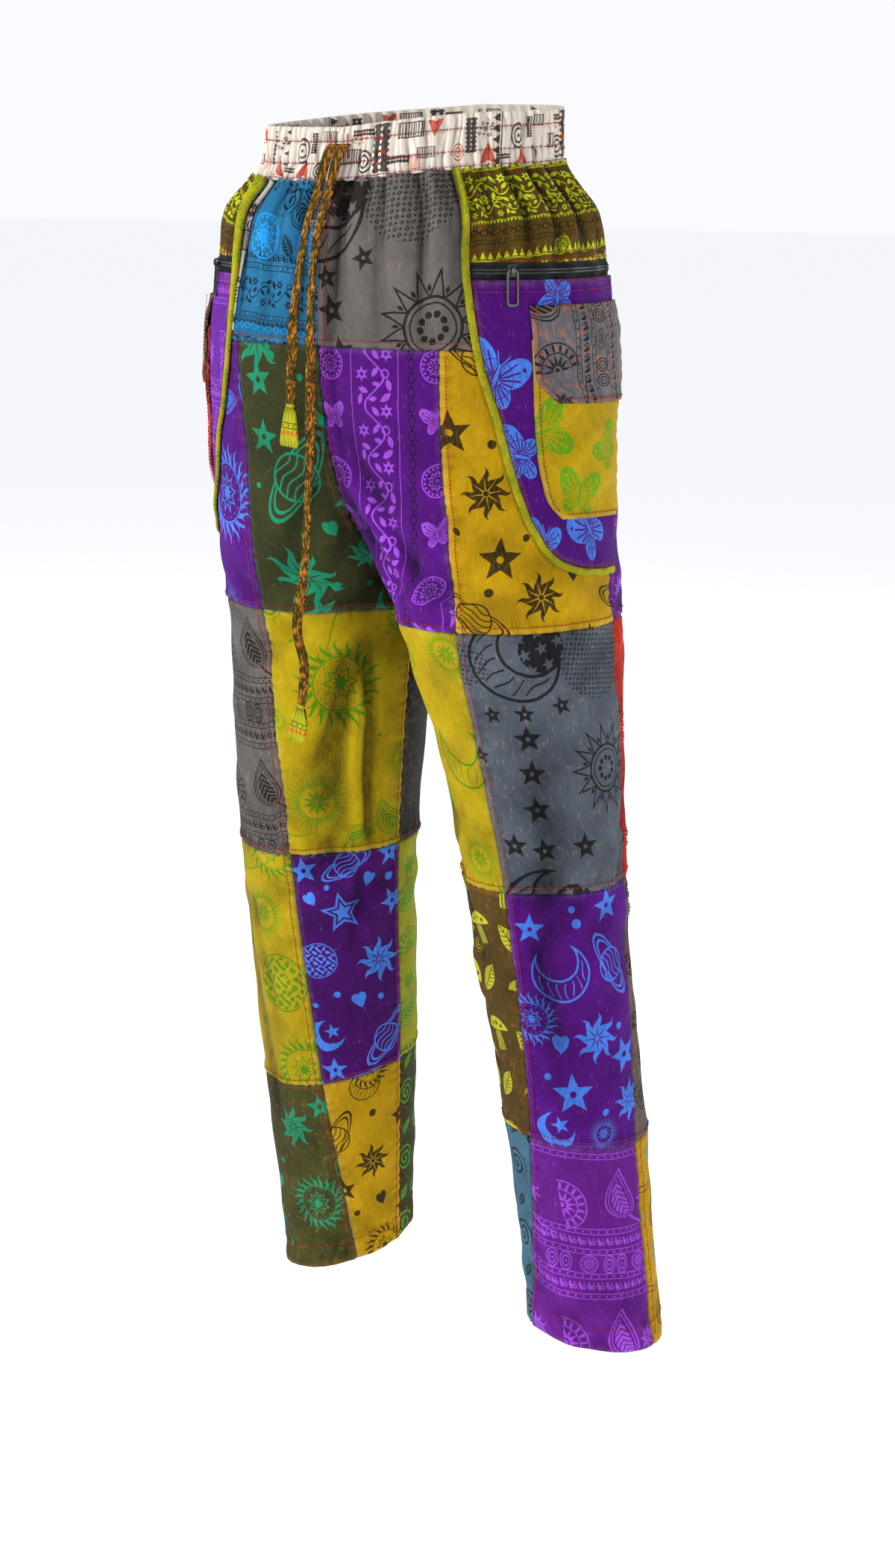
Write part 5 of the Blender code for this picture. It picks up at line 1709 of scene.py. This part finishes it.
@dataclass
class Yokes:
    """The gathered pieces between the waistband and the patches of one half."""

    half: Half
    pocket: SidePocket

    def piece(self, name: str, left: Callable, right: Callable, end: float, coat: Cotton) -> None:
        """Make one yoke.

        Args:
            name: its node.
            left: angle of its first edge at a height.
            right: angle of its second edge.
            end: height of its lower edge.
            coat: its finish.
        """
        half = self.half
        width = float((right(-0.1) - left(-0.1)) * 0.15)
        f = np.linspace(0, 1, steps_for(width * 1.15) + 1)
        top = np.full(f.shape, -0.024)
        for _ in range(4):
            theta = left(top) * (1 - f) + right(top) * f
            top = half.band_bottom(half.way(theta, top)) + 0.6 * MM
        v = np.linspace(0, 1, steps_for(-end - 0.02) + 1)[:, None]
        z = top * (1 - v) + (end + SEAM_GAP / 2) * v
        a, b = left(z), right(z)
        trim = SEAM_GAP / 2 / half.radius(a, z)
        theta = (a + trim) * (1 - f) + (b - trim) * f
        shell = ClothPiece(half, f"{name}_cloth", theta, z)
        made = finish(shell.build(), coat, name)

    def build(self) -> None:
        """Make the front, back and side yokes."""
        half, name = self.half, self.half.name
        self.piece(f"{name}_front_yoke", lambda z: -half.reach(z), lambda z: self.pocket.behind(z, -2 * MM),
                   YOKE_END, FRONT_YOKES[half.side])
        self.piece(f"{name}_back_yoke", lambda z: half.seam(z, 2), half.reach, YOKE_END, BACK_YOKES[half.side])
        self.piece(f"{name}_side_yoke", self.pocket.front, lambda z: half.seam(z, 2), ZIP_TOP, SIDE_YOKE)

    def stitch(self, sewing: Stitching) -> None:
        """Sew the centre seams and the two rows above the zip."""
        half = self.half
        z = line(-0.03, -0.30)
        inside = half.reach(z) - 6 * MM / HIP_RADIUS
        for angle in (-inside, inside):
            sewing.on_cloth(half, angle, z)
        for offset in (2.5 * MM, 8 * MM):
            z = ZIP_TOP + offset
            sewing.on_cloth(half, line(float(self.pocket.front(z)), float(half.seam(z, 2)), 0.01), z)


@dataclass
class Legs:
    """The sixteen patches of one leg."""

    half: Half

    def build(self) -> None:
        """Make each patch with its print."""
        for row, (top, end) in ROWS.items():
            for column, coat in enumerate(PATCHWORK[self.half.side, row]):
                self.patch(row, top, end, column, coat)

    def patch(self, row: str, top: float, end: float, column: int, coat: Cotton) -> None:
        """Make one patch between two seams."""
        half = self.half
        v = np.linspace(0, 1, steps_for(top - end) + 1)[:, None]
        z = (top - SEAM_GAP / 2) * (1 - v) + (end + SEAM_GAP / 2) * v
        full = half.reach(z)
        edges = [-full, half.seam(z, 1), half.seam(z, 2), half.seam(z, 3), full]
        a, b = edges[column], edges[column + 1]
        width = float(((b - a) * half.radius((a + b) / 2, z)).max())
        u = np.linspace(0, 1, steps_for(width) + 1)
        trim = SEAM_GAP / 2 / half.radius(a, z)
        theta = (a + trim) * (1 - u) + (b - trim) * u
        node = f"{half.name}_{row}_{COLUMNS[column]}"
        shell = ClothPiece(half, f"{node}_patch", theta, z + 0 * theta)
        made = finish(shell.build(), coat, node)

    def stitch(self, sewing: Stitching) -> None:
        """Sew beside every seam and round the hem."""
        half = self.half
        z = line(YOKE_END - 0.004, HEM_END + 0.006)
        for which in (1, 2, 3):
            angle = half.seam(z, which)
            sewing.on_cloth(half, angle + 5.5 * MM / half.radius(angle, z), z)
        low = z[z < THIGH_END]
        sewing.on_cloth(half, -half.reach(low) + 5.5 * MM / half.radius(np.full(low.shape, -3.1), low), low)
        for height in (YOKE_END, THIGH_END, KNEE_END, SHIN_END, HEM_END + 14.5 * MM):
            full = float(half.reach(height)) - 0.01
            sewing.on_cloth(half, line(-full, full, 0.01), height + 5.5 * MM)


@dataclass
class SidePocket:
    """The zipped side pocket of one half with its binding, patch pocket and flap."""

    half: Half

    def __post_init__(self) -> None:
        """Work out the binding's outer and inner lines."""
        self.outer, self.inner = self.edge_lines(210)

    def behind(self, z: Array, extra: float = 0.0) -> Array:
        """Angle just behind the binding above the pocket's corner."""
        rows = [(height, degrees) for degrees, height in POCKET_EDGE[self.half.side][:8]]
        edge = np.radians(along_table(rows, z, 1))
        return edge + (BINDING + extra) / self.half.radius(edge, np.asarray(z, float))

    def front(self, z: Array) -> Array:
        """Angle of the binding's inner line at a height above its corner."""
        low = int(np.argmin(self.inner[:, 1] > -0.30))
        upper = self.inner[:low][::-1]
        return np.interp(z, upper[:, 1], upper[:, 0]) + GAP / 2 / HIP_RADIUS

    def edge_lines(self, count: int) -> tuple[Array, Array]:
        """The pocket's outline at even steps, and the same line moved in by the binding."""
        half = self.half
        table = [(k, *row) for k, row in enumerate(POCKET_EDGE[half.side])]
        k = np.linspace(0, len(table) - 1, 600)
        theta, z = np.radians(along_table(table, k, 1)), along_table(table, k, 2)
        theta[-1] = half.seam(z[-1], 2) - GAP / 2 / SIDE_RADIUS
        top = float(half.band_bottom(half.way(theta[0], -0.02))) - GAP
        keep = z < top + 0.004
        theta, z = theta[keep], np.minimum(z[keep], top)
        radius = half.radius(theta, z)
        steps = np.hypot(np.diff(theta) * radius[1:], np.diff(z))
        walked = np.insert(np.cumsum(steps), 0, 0.0)
        s = np.linspace(0, walked[-1], count + 1)
        theta, z, radius = (np.interp(s, walked, values) for values in (theta, z, radius))
        way = unit(np.stack([np.gradient(theta) * radius, np.gradient(z)], -1))
        inner = np.stack([theta - way[:, 1] * BINDING / radius, z + way[:, 0] * BINDING], -1)
        outer = np.stack([theta, z], -1)
        inner[0, 1], inner[-1, 0] = outer[0, 1], outer[-1, 0]
        return outer, inner

    def strip(self, name: str, across: Array, lift: Array, thick: float, coat: Cotton) -> bpy.types.Object:
        """The binding: cloth along the pocket's outline.

        Args:
            name: its node.
            across: shares of the way from its outer to its inner line.
            lift: how far its face stands out at each share.
            thick: its thickness.
            coat: its finish.
        """
        theta, z = (self.outer[None, :, k] + (self.inner - self.outer)[None, :, k] * across[:, None] for k in (0, 1))
        raised = lift[:, None] + 2.2 * MM * (1 - smooth((-0.020 - z) / 0.125))
        shell = ClothPiece(self.half, f"{name}_cloth", theta, z, raised, thick, False)
        made = finish(shell.build(), coat, name)
        return made

    def build(self) -> None:
        """Make the binding, zip, panel, patch pocket and flap."""
        half, name = self.half, self.half.name
        across = np.linspace(0, 1, 7)
        self.strip(f"{name}_pocket_binding", across, (3.0 + 0.9 * np.sin(math.pi * across) ** 0.7) * MM,
                   1.8 * MM, BINDING_FINISH)
        if half.side is Side.RIGHT:
            self.facing_strip()
        self.zip()
        self.panel()
        degrees, top, low = POUCH[half.side]
        grid = self.rounded(degrees, top, low, POUCH_CORNER)
        self.laid(f"{name}_patch_pocket", grid, 5.0 * MM + self.bulge(*grid), POUCHES[half.side])
        degrees, flap_top, low = FLAP[half.side]
        grid = self.rounded(degrees, flap_top, low, FLAP_CORNER)
        over = (5.0 + 2.3 * smooth((flap_top - grid[1]) / (flap_top - top - 0.004))) * MM
        self.laid(f"{name}_pocket_flap", grid, over + self.bulge(*grid), FLAPS[half.side])

    def facing_strip(self) -> None:
        """The pocket's cream facing, which shows in front of the binding where the pocket gapes."""
        edge = self.outer[self.outer[:, 1] > -0.150]
        edge = edge[: len(edge) // COARSE * COARSE + 1 - COARSE]
        width = 5.5 * MM * smooth((edge[:, 1] + 0.115) / 0.10) + 1.2 * MM
        across = np.linspace(0.1, -1, 4)[:, None]
        theta = edge[:, 0] + across * width / HIP_RADIUS
        z = edge[:, 1] + 0 * across
        shell = ClothPiece(self.half, "right_pocket_facing", theta, z, 1.5 * MM, 0.9 * MM, False)
        finish(shell.build(), FACING_FINISH)

    def laid(self, node: str, grid: tuple[Array, Array], lift: Array, coat: Cotton) -> None:
        """A piece sewn on the panel, with a slightly uneven turned edge."""
        theta, z = grid
        rows, cols = theta.shape
        i, j = np.meshgrid(np.linspace(0, 1, rows), np.linspace(0, 1, cols), indexing="ij")
        rim = np.minimum.reduce([j, 1 - j, 1 - i]) * 0.09
        ripple = 0.5 * MM * bell(rim, 8 * MM) * uneven_wave(theta * HIP_RADIUS + z, 14 * MM, len(node))
        soft = 0.9 * MM * np.sin(5 * i + 2 * j) * np.sin(math.pi * i) * np.sin(math.pi * j)
        rolled = -0.8 * MM * bell(rim, 1.6 * MM)
        shell = ClothPiece(self.half, f"{node}_cloth", theta, z, lift + ripple + soft + rolled, 1.5 * MM, False)
        made = finish(shell.build(), coat, node)

    def bulge(self, theta: Array, z: Array) -> Array:
        """How far the patch pocket stands out."""
        degrees, z0, z1 = POUCH[self.half.side]
        a, b = math.radians(degrees), self.half.seam(z, 2)
        u, v = np.clip((theta - a) / (b - a), 0, 1), (z - z0) / (z1 - z0)
        return 4.0 * MM * np.sin(math.pi * u) ** 0.6 * smooth(v / 0.35) * smooth((1 - v) / 0.25)

    def rounded(
        self, degrees: float, z0: float, z1: float, corners: Sequence[tuple[float, float]]
    ) -> tuple[Array, Array]:
        """Grid of a piece whose lower front corner is cut off.

        Args:
            degrees: angle of its front edge.
            z0: height of its top.
            z1: height of its bottom.
            corners: inset of the front edge in millimetres at shares of the height.

        Returns:
            Angles and heights.
        """
        v = np.linspace(0, 1, steps_for(z0 - z1) + 1)[:, None]
        u = np.linspace(0, 1, steps_for(0.105) + 1)
        z = z0 + (z1 - z0) * v
        a = math.radians(degrees) + along_table(corners, v, 1) * MM / HIP_RADIUS
        b = self.half.seam(z, 2) - 1.2 * MM / SIDE_RADIUS
        return a + (b - a) * u, z - 0.004 * u * v

    def panel(self) -> None:
        """The pocket's big panel: rings of cloth round its middle."""
        half, name = self.half, self.half.name
        inside = self.outer + (self.inner - self.outer) * (1 + 2 * GAP / BINDING)
        top = ZIP_END - GAP / 2
        first = int(np.argmax(inside[:, 1] < top - 0.002))
        low = inside[-1, 1]
        side = line(low, top, 2.4 * MM)
        corner = float(self.front(top)) + 2 * GAP / HIP_RADIUS
        up = np.stack([half.seam(side, 2) - GAP / 2 / SIDE_RADIUS, side], -1)
        back = np.linspace(up[-1, 0], corner, 50)[1:-1]
        edge = np.concatenate([[[corner, top]], inside[first:-1], up, np.stack([back, np.full(len(back), top)], -1)])
        middle = (edge.min(0) + edge.max(0)) / 2
        rings = np.linspace(0, 1, 37)[1:]
        places = middle + (edge - middle)[None] * rings[:, None, None]
        count = len(edge)
        layers, uvs, faces, edges = [], [], [], []
        for layer, lift in enumerate((2.8 * MM, 1.3 * MM)):
            base = layer * (1 + len(rings) * count)
            theta = np.concatenate([[middle[0]], places[..., 0].ravel()])
            z = np.concatenate([[middle[1]], places[..., 1].ravel()])
            rim = (1 - np.concatenate([[0], np.repeat(rings, count)])) * 0.08
            ripple = 0.45 * MM * bell(rim, 9 * MM) * uneven_wave(theta * HIP_RADIUS + z, 16 * MM, 3.0)
            layers.append(half.skin(theta, z, lift + ripple, False))
            uvs.append(np.stack([half.sign * (theta - middle[0]) * 0.145, z - middle[1]], -1))
            edges.append(rim)
            k = np.arange(count)
            n = (k + 1) % count
            fan = np.stack([np.full(count, base), base + 1 + k, base + 1 + n], -1)
            quads = grid_faces(len(rings), count, base + 1, wrap=True)
            faces.append((fan[:, :: 1 if layer else -1], quads[:, :: -1 if layer else 1]))
        last = 1 + (len(rings) - 1) * count
        other = last + 1 + len(rings) * count
        rim_quads = np.stack([last + k, other + k, other + n, last + n], -1)
        made = make_mesh(f"{name}_pocket_panel_cloth", np.concatenate(layers),
                         [np.concatenate([f[0] for f in faces]), np.concatenate([f[1] for f in faces] + [rim_quads])],
                         np.concatenate(uvs), np.concatenate(edges))
        finish(made, PANELS[half.side], f"{name}_pocket_panel")

    def zip(self) -> None:
        """The zip: woven tape, with the coil's teeth standing on it."""
        half, name = self.half, self.half.name
        v = np.linspace(0, 1, 13)[:, None]
        z = ZIP_TOP + (ZIP_END - ZIP_TOP) * v
        a, b = self.front(z), half.seam(z, 2)
        u = np.linspace(0, 1, 64)[:-3]
        theta = a + (b - a) * np.linspace(0, 1, len(u))
        off = np.abs(v - 0.5)
        fold = 0.4 * MM + 0.9 * MM * smooth((0.34 - off) / 0.08) - 0.7 * MM * bell((off - 0.40) * 13, 0.6)
        shell = ClothPiece(half, f"{name}_zip_tape", theta, z + 0 * theta, fold + 0 * theta, 1.5 * MM, False)
        made = finish(shell.build(), ZIP_FINISH, f"{name}_zip")
        teeth = Stitching(f"{name}_zip_coil", length=2.0 * MM, width=1.0 * MM)
        middle = ZIP_TOP + (ZIP_END - ZIP_TOP) * 0.5
        first, last = float(self.front(middle)) + 0.02, float(half.seam(middle, 2)) - 0.01
        along = np.arange(first, last, 1.25 * MM / HIP_RADIUS)
        for rise in (1, -1):
            lower = half.skin(along, middle + rise * 0.25 * MM, 1.5 * MM, False)
            upper = half.skin(along + 0.5 * MM / HIP_RADIUS, middle + rise * 2.2 * MM, 1.5 * MM, False)
            teeth.bars(lower, upper, half.facing(along, np.full(along.shape, middle)))
        finish(teeth.build(RED_THREAD), Nylon())

    def stitch(self, sewing: Stitching) -> None:
        """Sew the binding, the rows below the zip and round the patch pocket and flap."""
        half = self.half
        track = self.outer + (self.inner - self.outer) * 1.45
        track = track[track[:, 1] < ZIP_END]
        sewing.on_cloth(half, track[:, 0], track[:, 1], 2.8 * MM, False)
        for drop in (2.5 * MM, 9 * MM):
            z = ZIP_END - drop
            sewing.on_cloth(half, line(float(self.front(z)) + 0.01, float(half.seam(z, 2)), 0.01), z, 2.9 * MM, False)
        for piece, corners, base in ((POUCH, POUCH_CORNER, 5.0), (FLAP, FLAP_CORNER, 7.3)):
            theta, z = self.rounded(*piece[half.side], corners)
            inset = 4.0 * MM
            front = np.stack([theta[:, 0] + inset / HIP_RADIUS, z[:, 0]], -1)
            bottom = np.stack([theta[-1], z[-1] + inset], -1)
            for path in (front[: -int(inset / FINE) - 1], bottom[2:]):
                lift = base * MM + self.bulge(path[:, 0], path[:, 1])
                sewing.on_cloth(half, path[:, 0], path[:, 1], lift + 0.3 * MM, False)


@dataclass
class Drawstring:
    """One free end of the drawstring: a flat tape with an edge stitch, and the padded tab on it.

    Attributes:
        name: short or long.
        route: the points that the tape follows, in millimetres.
        tab: sections of the tab.
    """

    name: str
    route: Sequence[tuple[float, float, float]]
    tab: Sequence[tuple[float, float, float]]

    def path(self, step: float) -> Array:
        """Points at even steps along a smooth curve through the route."""
        rows = np.array(self.route, float) * MM
        ends = np.concatenate([[2 * rows[0] - rows[1]], rows, [2 * rows[-1] - rows[-2]]])
        t = (np.arange(20) / 20)[:, None]
        fine = [
            b + ((c - a) * t + (2 * a - 5 * b + 4 * c - d) * t**2 + (3 * b - a - 3 * c + d) * t**3) / 2
            for a, b, c, d in zip(ends, ends[1:], ends[2:], ends[3:])
        ]
        fine = np.concatenate([*fine, rows[-1:]])
        walked = distances(fine[None], 1)[0]
        s = np.linspace(0, walked[-1], int(walked[-1] / step) + 1)
        return np.stack([np.interp(s, walked, fine[:, k]) for k in range(3)], -1)

    def tube(self, name: str, path: Array, width: Array, thick: Array, twist: Array, power: float) -> bpy.types.Object:
        """A flattened tube.

        Args:
            name: the piece's name.
            path: its middle line.
            width: its width at each point.
            thick: its thickness at each point.
            twist: turn of its width about its line, in radians.
            power: how square its section is.
        """
        way = unit(np.gradient(path, axis=0))
        x = np.array([1.0, 0, 0])
        across = unit(x - way * (way @ x)[:, None])
        deep = np.cross(way, across)
        c, s = np.cos(twist)[:, None], np.sin(twist)[:, None]
        across, deep = across * c + deep * s, deep * c - across * s
        around, count = 24, len(path)
        k = np.arange(around)
        angle = 2 * math.pi * k / around
        ca, sa = np.cos(angle), np.sin(angle)
        shape = (np.sign(ca) * np.abs(ca) ** power, np.sign(sa) * np.abs(sa) ** power)
        waist = 1 - 0.35 * bell(shape[0], 0.45)  # the fold's two rolled edges stand proud
        rings = path[:, None] + across[:, None] * (shape[0][None, :, None] * width[:, None, None] / 2)
        rings = rings + deep[:, None] * ((shape[1] * waist)[None, :, None] * thick[:, None, None] / 2)
        walked = distances(path[None], 1)[0]
        uv = np.stack([shape[0][None] * width[:, None] / 2 + 0 * walked[:, None], -walked[:, None] + 0 * ca], -1)
        ends = np.stack([path[0], path[-1]])
        verts = np.concatenate([rings.reshape(-1, 3), ends])
        uvs = np.concatenate([uv.reshape(-1, 2), [[0, 0], [0, -walked[-1]]]])
        n = (k + 1) % around
        end, last = count * around, (count - 1) * around
        caps = np.concatenate([
            np.stack([np.full(around, end), n, k], -1),
            np.stack([np.full(around, end + 1), last + k, last + n], -1),
        ])
        return make_mesh(name, verts, [grid_faces(count, around, wrap=True), caps], uvs, np.full(len(verts), 0.01))

    def build(self) -> None:
        path = self.path(3 * MM)
        walked = distances(path[None], 1)[0]
        twist = 0.30 * np.sin(walked * 34 + len(self.name)) * smooth((walked - 0.03) / 0.05)
        width = CORD_WIDTH * (0.94 + 0.06 * np.sin(walked * 90))
        tape = self.tube(f"drawstring_{self.name}_tape", path, width, np.full(len(path), CORD_THICK), twist, 0.6)
        finish(tape, TAPE_FINISH, f"drawstring_{self.name}")
        way = unit(path[-1:] - path[-2:-1])[0]
        share = np.linspace(0, self.tab[-1][0], 30)
        middle = path[-1] + way * (share[:, None] * MM)
        sizes = [along_table(self.tab, share, k) * MM for k in (1, 2)]
        tab = self.tube(f"drawstring_{self.name}_end", middle, sizes[0], sizes[1], np.full(30, 0.1), 0.75)
        finish(tab, TAB_FINISH, f"drawstring_tab_{self.name}")
        edge = Stitching(f"drawstring_{self.name}_stitching", 2.2 * MM, 2.9 * MM, 0.5 * MM)
        front = np.tile([0.0, -1.0, 0.0], (len(path), 1))
        edge.row(path + np.array([CORD_WIDTH * 0.34, 0, 0]) + front * CORD_THICK * 0.55, front)
        sewn = edge.build(RED_THREAD)


def dress_metal() -> None:
    """Round the edges of the sliders and pulls, and plate them."""
    coat = Plating()
    for side in Side:
        for part in ("zip_slider", "zip_pull"):
            node = frame["nodes"][f"{side.name.lower()}_{part}"]
            weld = node.modifiers.new("weld", "WELD")
            weld.merge_threshold = 0.02 * MM
            bevel = node.modifiers.new("bevel", "BEVEL")
            bevel.width, bevel.segments, bevel.limit_method = 0.25 * MM, 3, "ANGLE"
            node.data.materials.clear()
            node.data.materials.append(coat.material(f"{node.name}_plating"))


# ---------------------------------------------------------------- studio


# Columns: name, place, size, watts
LAMPS = (
    ("key", (-1.8, -2.0, 1.6), 0.6, 80), ("fill", (2.8, -1.2, 0.5), 1.2, 22), ("back", (0.6, 2.8, 1.2), 1.6, 40),
)


@dataclass(frozen=True)
class Studio:
    """Pale floor and soft light, with the camera where the photograph was taken.

    Attributes:
        distance: camera to the middle of the waist, level with it.
        azimuth: degrees round from the front towards the wearer's left.
        aside: how far the camera stands to its right of that line.
        pitch: degrees that it looks down.
        lens: focal length for a 36 mm long side.
        floor: height of the floor.
        ambient: strength of the light from all round.
    """

    distance: float = 2.2
    azimuth: float = 36.0
    aside: float = 0.0268
    pitch: float = 13.3
    lens: float = 61.66
    floor: float = -1.07
    ambient: float = 0.34

    def camera(self) -> None:
        """Make the camera."""
        a = math.radians(self.azimuth)
        data = bpy.data.cameras.new("camera")
        data.lens, data.sensor_width, data.clip_start = self.lens, 36.0, 0.05
        made = bpy.data.objects.new("camera", data)
        back, right = Vector((math.sin(a), -math.cos(a), 0)), Vector((math.cos(a), math.sin(a), 0))
        made.location = back * self.distance + right * self.aside
        made.rotation_euler = (math.radians(90 - self.pitch), 0, a)
        bpy.context.scene.collection.objects.link(made)
        bpy.context.scene.camera = made

    def lamp(self, name: str, place: tuple[float, float, float], size: float, power: float) -> None:
        """A square soft box that faces the garment's middle."""
        data = bpy.data.lights.new(name, "AREA")
        data.shape, data.size, data.energy = "SQUARE", size, power
        made = bpy.data.objects.new(name, data)
        made.location = place
        made.rotation_euler = (Vector((0, 0, -0.5)) - Vector(place)).to_track_quat("-Z", "Y").to_euler()
        bpy.context.scene.collection.objects.link(made)

    def build(self) -> None:
        """Make the floor, the backdrop, the lights and the camera."""
        bpy.ops.mesh.primitive_plane_add(size=60, location=(0, 0, self.floor))
        floor = bpy.context.object
        floor.name = "studio_floor"
        made, _, shader = new_material("studio_floor", "F4F4F6")
        shader.inputs["Base Color"].default_value = linear("F4F4F6")
        shader.inputs["Roughness"].default_value = 0.7
        shader.inputs["Emission Color"].default_value = linear("FAFBFF")
        shader.inputs["Emission Strength"].default_value = 0.64
        floor.data.materials.append(made)
        world = bpy.data.worlds.new("studio")
        world.use_nodes = True
        sky = world.node_tree
        sky.nodes["Background"].inputs[0].default_value = linear("FAFBFF")
        seen = sky.nodes.new("ShaderNodeLightPath").outputs["Is Camera Ray"]
        strength = Value(sky, seen).math("MULTIPLY_ADD", 1.0 - self.ambient, self.ambient)
        sky.links.new(strength.socket, sky.nodes["Background"].inputs[1])
        bpy.context.scene.world = world
        for lamp in LAMPS:
            self.lamp(*lamp)
        self.camera()
        bpy.context.scene.view_settings.view_transform = "Standard"


def main() -> None:
    """Build every sub-assembly in order."""
    logging.basicConfig(level=logging.INFO, format="%(message)s")
    Studio().build()
    Drawstring("short", SHORT_CORD, FAN_TAB).build()
    Drawstring("long", LONG_CORD, DROP_TAB).build()
    band = Waistband()
    band.build()
    band_rows = Stitching("band_stitching", length=2.2 * MM, pitch=2.9 * MM)
    band.stitch(band_rows)
    band_rows.build(RED_THREAD)
    band.buttonhole()
    for half in HALVES:
        sewing = Stitching(f"{half.name}_stitching")
        pocket = SidePocket(half)
        pocket.build()
        yokes = Yokes(half, pocket)
        yokes.build()
        legs = Legs(half)
        legs.build()
        for part in (pocket, yokes, legs):
            part.stitch(sewing)
        sewing.build(RED_THREAD)
    dress_metal()


if __name__ == "__main__":
    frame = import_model()
    main()
